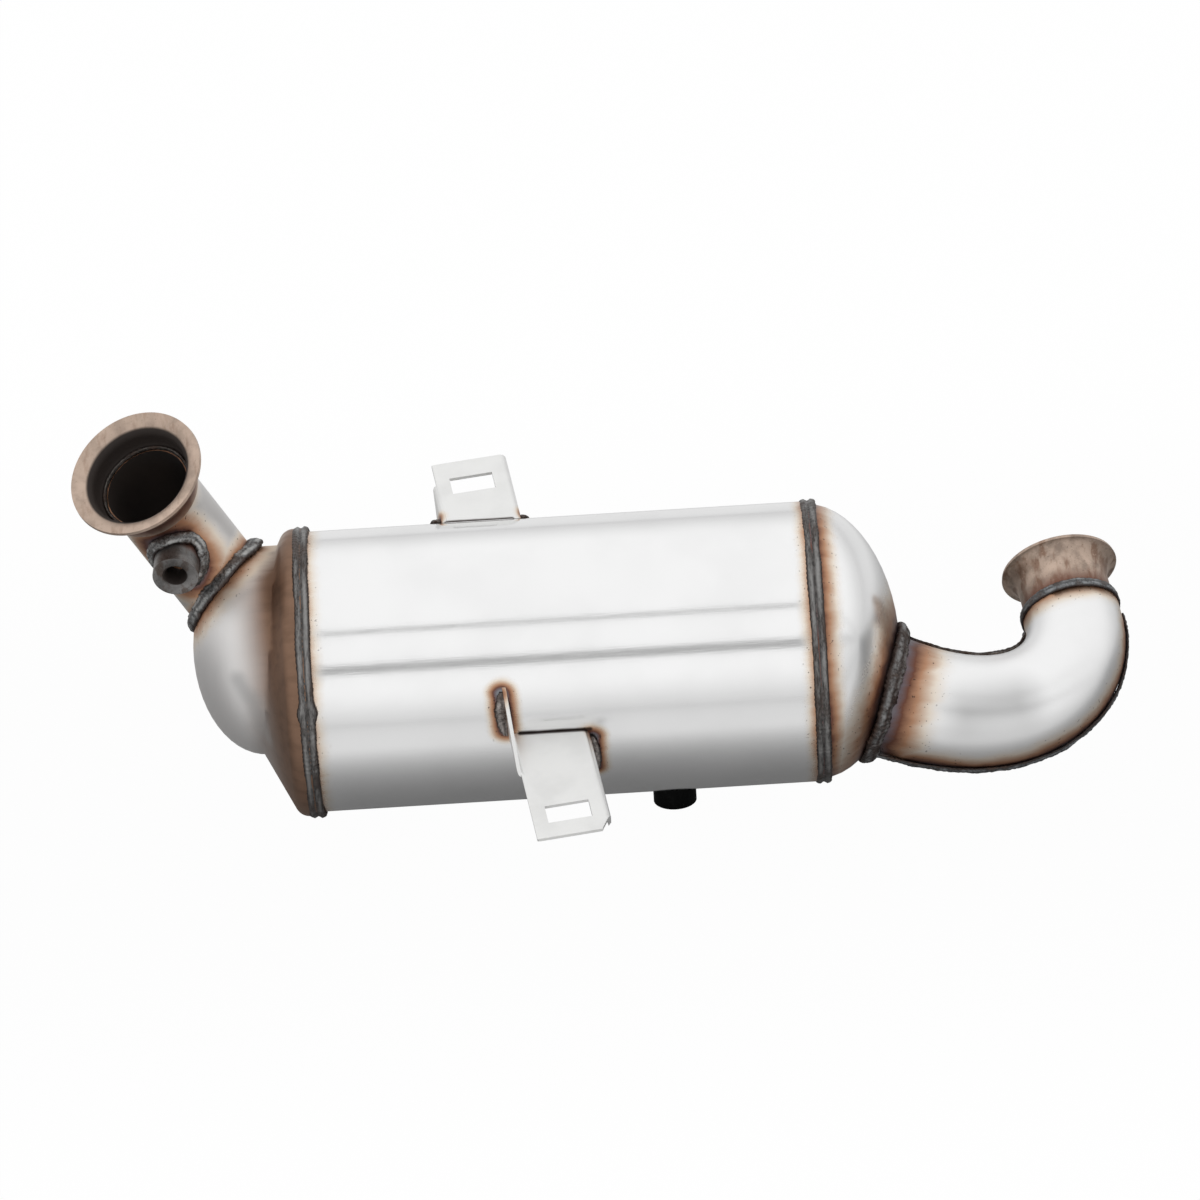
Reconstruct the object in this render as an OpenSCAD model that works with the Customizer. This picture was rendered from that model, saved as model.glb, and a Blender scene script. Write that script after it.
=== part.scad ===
// Diesel particulate filter: a welded stainless canister with an oxidation catalyst and a
// wall-flow filter inside, a stamped inlet elbow, an outlet pipe, two flared clamp flanges,
// two folded brackets, a threaded sensor boss and a capped pressure tap. Millimetres.
// Gas goes in at the +X end and out at the -X end. The pieces are drawn about the middle of
// the canister, with its axis along X and the bracket plates level, and the whole part is
// then moved so that its origin is in the throat of the inlet flange.

/* [Canister] */
// Outside diameter of the canister
can_od = 155; // [130:0.5:180]
// Length of the canister shell
can_len = 284; // [250:1:340]
// Sheet thickness of the canister
can_wall = 1.5; // [1:0.1:2.5]

/* [Bricks] */
// Thickness of the fibre mats round the bricks
mat_wall = 4; // [3:0.5:6]
// Gap between the two bricks, over the pressure tap
brick_gap = 24; // [16:1:40]
// Length of the catalyst brick
catalyst_len = 60; // [40:1:70]
// Distance from the outlet end of the canister to the filter brick
filter_inset = 16; // [8:1:24]
// Distance from the inlet end of the canister to the catalyst brick
catalyst_inset = 10; // [10:1:16]
// How far the mats stop short of the brick ends
mat_inset = 4; // [2:0.5:8]
// Spacing of the square channels
cell_pitch = 12; // [10:0.5:20]
// Wall between the channels
cell_wall = 2; // [1.5:0.1:3]
// Depth of the plugs that close the filter channels
plug_len = 10; // [6:1:16]

/* [Inlet cone] */
// Height of the domed inlet cone
inlet_cone_len = 46.5; // [40:0.5:56]
// Power of the dome's curve, 2 for an ellipse
inlet_cone_power = 1.9; // [1.7:0.05:2.2]
// Sheet thickness of both cones
cone_wall = 1.8; // [1.2:0.1:2.5]
// Length of the skirt that slips into the canister
inlet_cone_lap = 8; // [5:0.5:9]

/* [Inlet elbow] */
// Distance of the elbow port from the canister axis
port_offset = 30.7; // [24:0.1:34]
// Angle of the port round the canister axis, from +Y
port_roll = -135; // [-150:1:-120]
// Distance of the port centre past the end of the canister
port_out = 35.5; // [32:0.5:40]
// Heading of the elbow at the port, from +X
elbow_start_azimuth = -18; // [-24:0.5:-12]
// Rise of the elbow at the port
elbow_start_elevation = -17.5; // [-24:0.5:-12]
// Reach of the elbow along X, from its port to its end
elbow_reach = 108.5; // [100:0.5:120]
// Reach of the elbow along Y
elbow_side = 50.3; // [44:0.1:60]
// Rise of the elbow along Z
elbow_lift = 3.4; // [-4:0.1:10]
// Heading of the elbow at its end, from +X
elbow_end_azimuth = 98; // [94:0.5:106]
// Rise of the elbow at its end
elbow_end_elevation = 11; // [4:0.5:18]
// How far the bend carries on along its first heading
elbow_start_pull = 83; // [70:1:90]
// How far the bend runs along its last heading
elbow_end_pull = 38; // [34:1:46]
// Outside diameter of the elbow at the port
elbow_start_od = 66; // [60:0.5:68]
// Outside diameter of the elbow at the flange
elbow_end_od = 54.4; // [50:0.2:60]
// Sheet thickness of the elbow halves
elbow_wall = 1.8; // [1.2:0.1:2.4]
// Length of the elbow inside the dome, from the port centre
elbow_insert = 12; // [9:0.5:16]
// Tilt of the joint between the two halves, from level
seam_tilt = 30; // [15:1:45]

/* [Inlet flange] */
// Diameter of the inlet flange's rim
inlet_rim_od = 64.5; // [60:0.5:76]
// Length of the inlet flange beyond the elbow
inlet_flange_len = 30; // [26:0.5:36]
// Length of the flare on the inlet flange
inlet_flare_len = 14; // [8:0.5:16]
// Depth of the flange's neck in the elbow
inlet_socket = 8; // [6:0.5:12]
// Length of the inlet flange's foot, thinned from inside
inlet_foot = 10; // [8:0.5:13]
// Wall left at the end of that foot
inlet_foot_wall = 0.8; // [0.5:0.1:1.5]
// Wall of both flanges
flange_wall = 2; // [1.5:0.1:3]

/* [Outlet cone] */
// Length of the collar that slips over the canister
outlet_lap = 4.5; // [3:0.5:8]
// Radius of the shoulder between the collar and the end face
shoulder_r = 8; // [5:0.5:11]
// Slope of the end face from the canister axis
face_slope = 63; // [55:1:72]
// Radius of the round hump on the end face
hump_r = 57.5; // [52:0.5:60]
// Distance of the hump from the canister axis
hump_offset = 13.5; // [8:0.5:16]
// Angle of the hump round the canister axis, from +Y
hump_roll = 45; // [30:1:60]
// Distance from the end of the canister to the foot of the hump's dome
hump_foot = 21; // [16:0.5:26]
// Height of the hump's dome
hump_len = 38; // [34:0.5:44]

/* [Outlet pipe] */
// Outside diameter of the outlet pipe
pipe_od = 50; // [44:0.5:52]
// Wall of the outlet pipe
pipe_wall = 1.5; // [1:0.1:2.2]
// Distance of the pipe's start past the end of the canister
pipe_out = 42; // [36:0.5:46]
// Place of the pipe's start along Y
pipe_y = 34.8; // [30:0.2:40]
// Place of the pipe's start along Z
pipe_z = 41.9; // [36:0.1:46]
// Heading of the pipe where it leaves the hump, from +X
pipe_start_azimuth = 144.8; // [138:0.1:152]
// Rise of the pipe where it leaves the hump
pipe_start_elevation = 48.4; // [42:0.1:54]
// Heading of the pipe at its mouth, from +X
pipe_end_azimuth = 215; // [205:0.5:225]
// Rise of the pipe at its mouth
pipe_end_elevation = 67.5; // [62:0.5:72]
// Length of the straight part before the bend
pipe_run = 26; // [22:0.5:32]
// Radius of the bend, to the middle of the pipe
pipe_bend_r = 68; // [60:1:80]
// Length of the pipe inside the hump
pipe_insert = 12; // [8:0.5:16]

/* [Outlet flange] */
// Diameter of the outlet flange's rim
outlet_rim_od = 76; // [70:0.5:86]
// Depth of the pipe in the flange
outlet_socket = 6; // [4:0.5:8]
// Diameter of the flange's throat
outlet_throat_d = 55; // [54:0.5:60]
// Length of the taper between the pipe and the throat
outlet_step_len = 3; // [2:0.5:5]
// Length of the straight throat
outlet_throat_len = 6; // [4:0.5:10]
// Length of the flare on the outlet flange
outlet_flare_len = 8; // [6:0.5:12]

/* [Sensor boss] */
// Outside diameter of the sensor boss
boss_od = 25; // [22:0.5:28]
// Core diameter of the boss's M14 thread
boss_bore = 12.4; // [10:0.1:15]
// Chamfer at the mouth of the bore
boss_chamfer = 1.2; // [0.5:0.1:2]
// Height of the boss above the pipe
boss_len = 16; // [12:0.5:20]
// Place of the boss along the bend
boss_bend_angle = 8; // [3:1:14]
// How far the boss leans back along the pipe
boss_lean = 8; // [0:1:12]
// Angle of the boss round the pipe
boss_roll = -26; // [-38:1:-10]

/* [Pressure tap] */
// Angle of the tap round the canister axis, from +Y
tap_roll = -108; // [-125:1:-95]
// Outside diameter of the tap boss
tap_od = 18; // [15:0.5:20]
// Bore of the tap boss
tap_bore = 10; // [7:0.5:11]
// Height of the tap boss above the shell
tap_len = 13; // [10:0.5:16]
// Outside diameter of the cap
cap_od = 24; // [23:0.5:28]
// Thickness of the cap's end
cap_end = 3.5; // [2:0.5:5]
// Distance from the shell to the cap
cap_lift = 4.5; // [4:0.5:7]

/* [Brackets] */
// Sheet thickness of the brackets
bracket_wall = 2; // [1.5:0.1:3]
// Inside radius of the folds
fold_r = 2; // [1:0.5:4]
// Width of both bracket plates
bracket_w = 44; // [38:0.5:52]
// Angle of both brackets about Z
bracket_turn = 8; // [0:1:12]
// Length of the slots, across the plate
slot_len = 24; // [16:0.5:28]
// Width of the slots, along the plate
slot_w = 12.5; // [8:0.5:16]
// Where the front bracket's middle line crosses the canister axis
front_x = -18; // [-30:1:0]
// How far the front plate's upper face lies below the top of the canister
front_drop = 58.5; // [52:0.5:65]
// How far the front plate reaches out past the canister's radius
front_reach = 76; // [64:0.5:90]
// Distance of the front slot's middle from the plate's end
front_slot_inset = 16.8; // [14:0.1:20]
// How far the front gusset's foot reaches out past the canister's radius
front_gusset_reach = 27.5; // [18:0.5:36]
// Height of the front gusset over the plate
front_gusset = 25; // [20:0.5:30]
// Height of the front flange under the plate
front_flange = 31; // [24:0.5:38]
// Where the rear bracket's middle line crosses the canister axis
rear_x = -30; // [-45:0.5:-20]
// How far the rear plate's upper face lies below the top of the canister
rear_drop = 21.5; // [18:0.5:26]
// How far the rear plate reaches out past the canister's radius
rear_reach = 26.5; // [21:0.5:40]
// Distance of the rear slot's middle from the plate's end
rear_slot_inset = 19; // [15:0.5:22]
// Height of the rear flanges under the plate
rear_flange = 26; // [20:0.5:32]
// How far the rear left flange reaches out past the canister's radius
rear_gusset_reach = 10.5; // [4:0.5:16]
// Length of the corner cut on the front plate
corner_len = 11; // [6:0.5:14]
// Width of the corner cut on the front plate
corner_w = 6.5; // [3:0.5:9]

/* [Welds] */
// Width of the girth weld beads
girth_w = 9.5; // [6:0.5:11]
// Height of the girth weld beads over the sheet
girth_h = 0.9; // [0.6:0.1:2]
// Leg of the weld round the elbow port
port_weld = 6; // [4:0.5:8]
// Leg of the weld round the outlet pipe
pipe_weld = 4.5; // [3:0.5:6]
// Leg of the weld at the inlet flange
flange_weld = 3.5; // [2:0.5:5]
// Leg of the weld inside the outlet flange
throat_weld = 1.8; // [1:0.1:2.4]
// Leg of the weld round the sensor boss
boss_weld = 4; // [2:0.5:5]
// Leg of the weld round the tap boss
tap_weld = 2.5; // [1.5:0.5:3.5]
// Leg of the bracket welds
bracket_weld = 4; // [3:0.5:6]
// Width of the elbow seam beads
seam_w = 6; // [4:0.5:8]
// Height of the elbow seam beads
seam_h = 2; // [1:0.1:3]

/* [Fits] */
// Clearance between sheets that slip together
fit_gap = 0.2; // [0.15:0.05:0.3]
// Clearance between a weld bead and what it lies on
weld_gap = 0.2; // [0.15:0.05:0.3]

/* [Hidden] */
$fn = 96;

// Steps along curved profiles, round weld rings and along the elbow
profile_steps = 14;
ring_steps = 48;
elbow_steps = 24;
// Steps left out of a seam bead at the canister end
seam_skip = 2;
half_steps = 20;
bead_steps = 10;
bisect_steps = 26;
over = 1;
full_turn = 360;

// Share of a bead's height or half-width at the shoulder beside its crown
bead_shoulder = 0.8;
bead_flank = 0.4;
// Share of a bracket weld's leg at its two ends
bead_tail = 0.3;

can_r = can_od / 2;
can_ir = can_r - can_wall;
end_x = can_len / 2;
brick_r = can_ir - mat_wall;
filter_x0 = -end_x + filter_inset;
catalyst_x1 = end_x - catalyst_inset;
catalyst_x0 = catalyst_x1 - catalyst_len;
filter_x1 = catalyst_x0 - brick_gap;
filter_len = filter_x1 - filter_x0;
tap_x = (filter_x1 + catalyst_x0) / 2;

// Directions and curves
function heading(azimuth, elevation) =
    [cos(elevation) * cos(azimuth), cos(elevation) * sin(azimuth), sin(elevation)];
function unit(v) = v / norm(v);
function across(v, d) = unit(v - (v * d) * d);
function mix(a, b, t) = a + (b - a) * t;
function bezier(p, t) =
    pow(1 - t, 3) * p[0] + 3 * t * pow(1 - t, 2) * p[1]
    + 3 * t * t * (1 - t) * p[2] + pow(t, 3) * p[3];
function bezier_heading(p, t) =
    unit(pow(1 - t, 2) * (p[1] - p[0]) + 2 * t * (1 - t) * (p[2] - p[1]) + t * t * (p[3] - p[2]));

// Where the line p + s * d leaves a body, between s = low inside it and s = high outside it.
// The body is a function that is negative inside.
function leave(body, p, d, low, high, steps = bisect_steps) =
    let(mid = (low + high) / 2)
    steps == 0 ? mid
    : body(p + mid * d) < 0 ? leave(body, p, d, mid, high, steps - 1)
    : leave(body, p, d, low, mid, steps - 1);

// Puts the drawing's origin, Z and X at a point and two directions
module at(origin, z, x) {
    y = cross(z, x);
    multmatrix([
        [x[0], y[0], z[0], origin[0]],
        [x[1], y[1], z[1], origin[1]],
        [x[2], y[2], z[2], origin[2]]
    ]) children();
}

// Turns Z to X, for what is round about the canister axis
module along_x(x = 0) {
    translate([x, 0, 0]) rotate([0, 90, 0]) children();
}

// A body through rings of points, each as [point, point, ...], closed on itself or with ends
module loft(rings, closed = false) {
    count = len(rings);
    size = len(rings[0]);
    last = closed ? count - 1 : count - 2;
    sides = [
        for (i = [0:last], j = [0:size - 1])
        let(
            a = i * size + j,
            b = i * size + (j + 1) % size,
            c = ((i + 1) % count) * size + (j + 1) % size,
            d = ((i + 1) % count) * size + j
        )
        each [[a, b, c], [a, c, d]]
    ];
    ends = closed ? [] : [
        [for (j = [size - 1:-1:0]) j],
        [for (j = [0:size - 1]) (count - 1) * size + j]
    ];
    polyhedron([for (ring = rings) each ring], concat(sides, ends), convexity = 6);
}

// A fillet's outline: its root, its two toes and the crown between them
function fillet(root, toe_a, toe_b, lift) =
    let(crown = (toe_a + toe_b) / 2 + lift)
    [root, toe_a, (toe_a + crown) / 2 + lift / 4, crown, (toe_b + crown) / 2 + lift / 4, toe_b];

// Canister and what it holds

tap_dir = [0, cos(tap_roll), sin(tap_roll)];

module canister_shell() {
    color("gainsboro") difference() {
        along_x(-end_x) difference() {
            cylinder(h = can_len, r = can_r);
            translate([0, 0, -over]) cylinder(h = can_len + 2 * over, r = can_ir);
        }
        at([tap_x, 0, 0], tap_dir, [1, 0, 0]) cylinder(h = can_r + over, d = tap_bore);
    }
}

// Column and row numbers of the channels that lie whole inside the brick
cell_span = floor(brick_r / cell_pitch);
cells = [
    for (i = [-cell_span:cell_span], j = [-cell_span:cell_span])
    if (norm([abs(i) + 0.5, abs(j) + 0.5]) * cell_pitch < brick_r) [i, j]
];

// One channel, from z0 to z1 along the brick
module channel(cell, z0, z1) {
    side = cell_pitch - cell_wall;
    translate([cell[0] * cell_pitch - side / 2, cell[1] * cell_pitch - side / 2, z0])
        cube([side, side, z1 - z0]);
}

module catalyst_brick() {
    color("tan") along_x(catalyst_x0) difference() {
        cylinder(h = catalyst_len, r = brick_r);
        for (cell = cells) channel(cell, -over, catalyst_len + over);
    }
}

// Neighbouring channels are plugged at opposite ends, so the gas goes through their walls
module filter_brick() {
    color("dimgray") along_x(filter_x0) difference() {
        cylinder(h = filter_len, r = brick_r);
        for (cell = cells) {
            if ((cell[0] + cell[1]) % 2 == 0) channel(cell, -over, filter_len - plug_len);
            else channel(cell, plug_len, filter_len + over);
        }
    }
}

// A fibre mat between a brick and the shell
module mat(x0, length) {
    along_x(x0 + mat_inset) difference() {
        cylinder(h = length - 2 * mat_inset, r = can_ir - fit_gap / 2);
        translate([0, 0, -over]) cylinder(h = length + 2 * over, r = brick_r + fit_gap / 2);
    }
}

module catalyst_mat() {
    color("ivory") mat(catalyst_x0, catalyst_len);
}

module filter_mat() {
    color("ivory") mat(filter_x0, filter_len);
}

// Inlet cone

inlet_cone_r = can_ir - fit_gap;

function dome_r(x, r, height) =
    r * pow(1 - pow(min(x / height, 1), inlet_cone_power), 1 / inlet_cone_power);

// The dome's outside and inside, from its skirt to its top, as points of radius and height
function dome_profile(r, height) = concat(
    [[0, -inlet_cone_lap], [r, -inlet_cone_lap]],
    [
        for (i = [0:profile_steps])
        let(x = height * sin(90 * i / profile_steps))
        [dome_r(x, r, height), x]
    ]
);

function dome_body(p) =
    let(x = p[0] - end_x, r = norm([p[1], p[2]]))
    x <= 0 ? r - inlet_cone_r
    : pow(x / inlet_cone_len, inlet_cone_power) + pow(r / inlet_cone_r, inlet_cone_power) - 1;

module dome(r, height) {
    along_x(end_x) rotate_extrude() polygon(dome_profile(r, height));
}

module inlet_cone() {
    color("silver") difference() {
        dome(inlet_cone_r, inlet_cone_len);
        translate([-over, 0, 0]) along_x(end_x - inlet_cone_lap)
            cylinder(h = inlet_cone_lap + over, r = inlet_cone_r - cone_wall);
        dome(inlet_cone_r - cone_wall, inlet_cone_len - cone_wall);
        at(port, elbow_start, port_side)
            translate([0, 0, -port_offset]) cylinder(h = 2 * port_offset, r = elbow_r0 + fit_gap);
    }
}

// Bead over the canister's edge and down on to the dome
module inlet_girth_weld() {
    step = can_r - inlet_cone_r;
    low = inlet_cone_r + weld_gap;
    high = can_r + weld_gap;
    half = girth_w / 2;
    color("dimgray") along_x(end_x) rotate_extrude() polygon([
        [high, -half],
        [high, weld_gap],
        [low, weld_gap],
        [low, half],
        [low + step, half * bead_shoulder],
        [high + girth_h * bead_shoulder, half * bead_flank],
        [high + girth_h, 0],
        [high + girth_h * bead_shoulder, -half * bead_flank]
    ]);
}

// Inlet elbow: two half-shells along a bend that narrows towards the flange

port_side = [0, sin(port_roll), -cos(port_roll)];
port = [end_x + port_out, port_offset * cos(port_roll), port_offset * sin(port_roll)];
elbow_start = heading(elbow_start_azimuth, elbow_start_elevation);
elbow_end = heading(elbow_end_azimuth, elbow_end_elevation);
elbow_mouth = port + [elbow_reach, elbow_side, elbow_lift];
elbow_r0 = elbow_start_od / 2;
elbow_r1 = elbow_end_od / 2;
elbow_tip = elbow_mouth - inlet_socket * elbow_end;
elbow_path = [
    port,
    port + elbow_start_pull * elbow_start,
    elbow_tip - elbow_end_pull * elbow_end,
    elbow_tip
];
// Direction that the upper half faces
seam_normal = heading(-90, 90 - seam_tilt);
// The bore narrows slowly at first and faster towards the flange
taper_power = 1.2;

// One ring's place along the elbow: centre, heading and radius
function elbow_station(t) = [
    bezier(elbow_path, t),
    bezier_heading(elbow_path, t),
    mix(elbow_r0, elbow_r1, pow(t, taper_power))
];
elbow_stations = concat(
    [[port - elbow_insert * elbow_start, elbow_start, elbow_r0]],
    [for (i = [0:elbow_steps]) elbow_station(i / elbow_steps)],
    [[elbow_mouth, elbow_end, elbow_r1]]
);

// A point round a station: 0 is the seam outside the bend and 180 the one inside it
function elbow_point(station, angle, r) =
    let(up = across(seam_normal, station[1]), side = cross(station[1], up))
    station[0] + r * (cos(angle) * side + sin(angle) * up);

// The half-shell's edges stand a little back from the joint
module elbow_half(from) {
    loft([
        for (station = elbow_stations)
        let(edge = asin(weld_gap / station[2] / 2))
        concat(
            [
                for (i = [0:half_steps])
                elbow_point(station, from + mix(edge, 180 - edge, i / half_steps), station[2])
            ],
            [
                for (i = [half_steps:-1:0])
                elbow_point(
                    station, from + mix(edge, 180 - edge, i / half_steps), station[2] - elbow_wall
                )
            ]
        )
    ]);
}

module elbow_upper_half() {
    color("silver") elbow_half(0);
}

module elbow_lower_half() {
    color("lightgray") elbow_half(180);
}

// A low bead along the joint, clear of the welds at both ends of the elbow
module elbow_seam(angle) {
    color("dimgray") loft([
        for (i = [seam_skip:elbow_steps - 1])
        let(
            station = elbow_stations[i + 1],
            r = station[2] + weld_gap,
            half = asin(seam_w / 2 / r)
        )
        [
            elbow_point(station, angle - half, r),
            elbow_point(station, angle, r + weld_gap),
            elbow_point(station, angle + half, r),
            elbow_point(station, angle + half / 2, r + seam_h * bead_shoulder),
            elbow_point(station, angle, r + seam_h),
            elbow_point(station, angle - half / 2, r + seam_h * bead_shoulder)
        ]
    ]);
}

module elbow_outer_seam_weld() {
    elbow_seam(0);
}

module elbow_inner_seam_weld() {
    elbow_seam(180);
}

// A ring of weld where a round stub leaves a body: its root, a toe on the body, a toe on the stub
module stub_weld(body, centre, z, x, r, leg, low, high) {
    y = cross(z, x);
    rings = [
        for (i = [0:ring_steps - 1])
        let(
            angle = 360 * i / ring_steps,
            out = cos(angle) * x + sin(angle) * y,
            foot = centre + (r + weld_gap) * out,
            toe = foot + leg * out,
            root_at = foot + (leave(body, foot, z, low, high) + 2 * weld_gap) * z,
            toe_at = toe + (leave(body, toe, z, low, high) + weld_gap) * z
        )
        fillet(root_at, toe_at, root_at + leg * z, leg / 4 * unit(out + z))
    ];
    loft(rings, closed = true);
}

module elbow_port_weld() {
    color("dimgray")
        stub_weld(
            function(p) dome_body(p), port, elbow_start, port_side, elbow_r0, port_weld,
            -elbow_start_od, elbow_r0
        );
}

// Flanges

// How far the curve of a flare turns outward
flare_sweep = 78;

// The inside of a flare, from a throat of radius r at height z to the rim, and its outside
function flare(r, rim_r, z, length, wall) =
    [
        for (i = [0:profile_steps])
        let(
            angle = flare_sweep * i / profile_steps,
            rise = (rim_r - r) / (1 - cos(flare_sweep)),
            run = length / sin(flare_sweep),
            back = unit([run * cos(angle), -rise * sin(angle)])
        )
        [r + rise * (1 - cos(angle)), z + run * sin(angle)] + wall * back
    ];

function backwards(list) = [for (i = [len(list) - 1:-1:0]) list[i]];

inlet_neck_r = elbow_r1 - elbow_wall - fit_gap;
inlet_bore_r = inlet_neck_r - flange_wall;
inlet_flare_z = inlet_flange_len - inlet_flare_len;
inlet_throat_z = inlet_foot - inlet_socket;
inlet_side = across([0, 0, 1], elbow_end);

module inlet_flange() {
    rim_r = inlet_rim_od / 2;
    color("burlywood") at(elbow_mouth, elbow_end, inlet_side) rotate_extrude() polygon(concat(
        [
            [inlet_neck_r, -inlet_socket],
            [inlet_neck_r - inlet_foot_wall, -inlet_socket],
            [inlet_bore_r, inlet_throat_z]
        ],
        flare(inlet_bore_r, rim_r, inlet_flare_z, inlet_flare_len, 0),
        backwards(flare(inlet_bore_r, rim_r, inlet_flare_z, inlet_flare_len, flange_wall))
    ));
}

// A fillet on the elbow's edge and round the flange's neck
module inlet_flange_weld() {
    edge_r = elbow_r1 + weld_gap;
    neck = inlet_neck_r + weld_gap;
    leg = flange_weld;
    color("dimgray") at(elbow_mouth, elbow_end, inlet_side) rotate_extrude() polygon([
        [neck, weld_gap],
        [edge_r, weld_gap],
        [edge_r, -leg / 2],
        [edge_r + leg / 3, 0],
        [edge_r + leg / 4, leg / 2],
        [neck + leg / 3, leg],
        [neck, leg]
    ]);
}

// Outlet cone: a collar and shoulder round the canister axis, and an eccentric domed hump

collar_ir = can_r + fit_gap;
collar_r = collar_ir + cone_wall;
hump_axis = hump_offset * [cos(hump_roll), sin(hump_roll)];

// Collar, shoulder and end face as points of radius and height, moved in by a wall
function collar_profile(inset) =
    let(
        bend = shoulder_r - inset,
        middle = collar_r - shoulder_r,
        face_r = middle + bend * cos(face_slope),
        face_z = bend * sin(face_slope),
        run = face_r / tan(face_slope)
    )
    concat(
        [[0, -outlet_lap], [collar_r - inset, -outlet_lap]],
        [
            for (i = [0:profile_steps])
            let(angle = face_slope * i / profile_steps)
            [middle + bend * cos(angle), bend * sin(angle)]
        ],
        [[0, face_z + run]]
    );

// Hump, from the canister's end to the top of its dome, moved in by a wall
function hump_profile(inset) = concat(
    [[0, 0], [hump_r - inset, 0]],
    [
        for (i = [0:profile_steps])
        let(angle = 90 * i / profile_steps)
        [(hump_r - inset) * cos(angle), hump_foot + (hump_len - inset) * sin(angle)]
    ]
);

function hump_body(p) =
    let(
        z = -end_x - p[0] - hump_foot,
        r = norm([p[1] - hump_axis[0], p[2] - hump_axis[1]])
    )
    z < 0 ? r - hump_r : pow(z / hump_len, 2) + pow(r / hump_r, 2) - 1;

function collar_body(p) =
    let(
        z = -end_x - p[0],
        face_z = shoulder_r * sin(face_slope),
        face_r = collar_r - shoulder_r + shoulder_r * cos(face_slope)
    )
    norm([p[1], p[2]]) - face_r + (z - face_z) * tan(face_slope);

function outlet_body(p) = min(hump_body(p), collar_body(p));

// The cone's whole form as a solid, moved in by a wall
module outlet_form(inset) {
    at([-end_x, 0, 0], [-1, 0, 0], [0, 0, 1]) {
        rotate_extrude() polygon(collar_profile(inset));
        intersection() {
            translate([hump_axis[1], hump_axis[0], 0])
                rotate_extrude() polygon(hump_profile(inset));
            cylinder(h = hump_foot + hump_len + over, r = collar_r - shoulder_r - inset);
        }
    }
}

module outlet_cone() {
    color("rosybrown") difference() {
        outlet_form(0);
        outlet_form(cone_wall);
        along_x(-end_x) cylinder(h = outlet_lap + over, r = collar_ir);
        at(pipe_base, pipe_start, pipe_in)
            translate([0, 0, -pipe_insert]) cylinder(h = pipe_run + pipe_insert, r = pipe_r + fit_gap);
    }
}

// Bead over the collar's edge and down on to the canister
module outlet_girth_weld() {
    low = can_r + weld_gap;
    high = collar_r + weld_gap;
    half = girth_w / 2;
    color("dimgray") along_x(-end_x + outlet_lap) rotate_extrude() polygon([
        [high, -half],
        [high, weld_gap],
        [low, weld_gap],
        [low, half],
        [low + girth_h, half * bead_shoulder],
        [high + girth_h * bead_shoulder, half * bead_flank],
        [high + girth_h, 0],
        [high + girth_h * bead_shoulder, -half * bead_flank]
    ]);
}

// Outlet pipe: a straight run from the hump and one bend that ends in the flange

pipe_r = pipe_od / 2;
pipe_ir = pipe_r - pipe_wall;
pipe_base = [-end_x - pipe_out, pipe_y, pipe_z];
pipe_start = heading(pipe_start_azimuth, pipe_start_elevation);
pipe_end = heading(pipe_end_azimuth, pipe_end_elevation);
pipe_in = across(pipe_end, pipe_start);
pipe_bend = acos(pipe_start * pipe_end);
pipe_pivot = pipe_base + pipe_run * pipe_start + pipe_bend_r * pipe_in;
bend_axis = cross(pipe_in, -pipe_start);

// A point on the pipe's middle line, and the heading there, by the angle along the bend
function bend_point(angle) =
    pipe_pivot + pipe_bend_r * (sin(angle) * pipe_start - cos(angle) * pipe_in);
function bend_heading(angle) = cos(angle) * pipe_start + sin(angle) * pipe_in;
function bend_inward(angle) = cos(angle) * pipe_in - sin(angle) * pipe_start;

// The pipe's own frame: Z along its first run, the bend towards X
module pipe_place() {
    at(pipe_base, pipe_start, pipe_in) children();
}

// A place along the bend, in the pipe's own frame
module bend_place(angle) {
    translate([pipe_bend_r, 0, pipe_run]) rotate([0, angle, 0])
        translate([-pipe_bend_r, 0, 0]) children();
}

// A section turned round the bend's axis by an angle, in the pipe's own frame
module bend_sweep(angle) {
    translate([pipe_bend_r, 0, pipe_run]) rotate([90, 0, 180])
        rotate_extrude(angle = angle) translate([pipe_bend_r, 0]) children();
}

module pipe_section() {
    difference() {
        circle(r = pipe_r);
        circle(r = pipe_ir);
    }
}

boss_base = bend_point(boss_bend_angle);
boss_top = pipe_r + boss_len;
boss_out = cos(boss_roll) * bend_inward(boss_bend_angle) + sin(boss_roll) * bend_axis;
boss_dir = cos(boss_lean) * boss_out - sin(boss_lean) * bend_heading(boss_bend_angle);
boss_along = across(bend_heading(boss_bend_angle), boss_dir);

module outlet_pipe() {
    color("silver") difference() {
        pipe_place() {
            translate([0, 0, -pipe_insert])
                linear_extrude(pipe_insert + pipe_run) pipe_section();
            bend_sweep(pipe_bend) pipe_section();
        }
        at(boss_base, boss_dir, boss_along) cylinder(h = boss_top, d = boss_bore);
    }
}

module outlet_pipe_weld() {
    color("dimgray")
        stub_weld(
            function(p) outlet_body(p), pipe_base, pipe_start, pipe_in, pipe_r, pipe_weld,
            -pipe_od, pipe_run
        );
}

// Heights up the outlet flange, from the pipe's end. Its socket is straight, so it also clears
// the pipe's curve.
outlet_throat_r = outlet_throat_d / 2;
outlet_flare_z = outlet_step_len + outlet_throat_len;
outlet_socket_r = pipe_r + fit_gap + outlet_socket * outlet_socket / (2 * pipe_bend_r);

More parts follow.
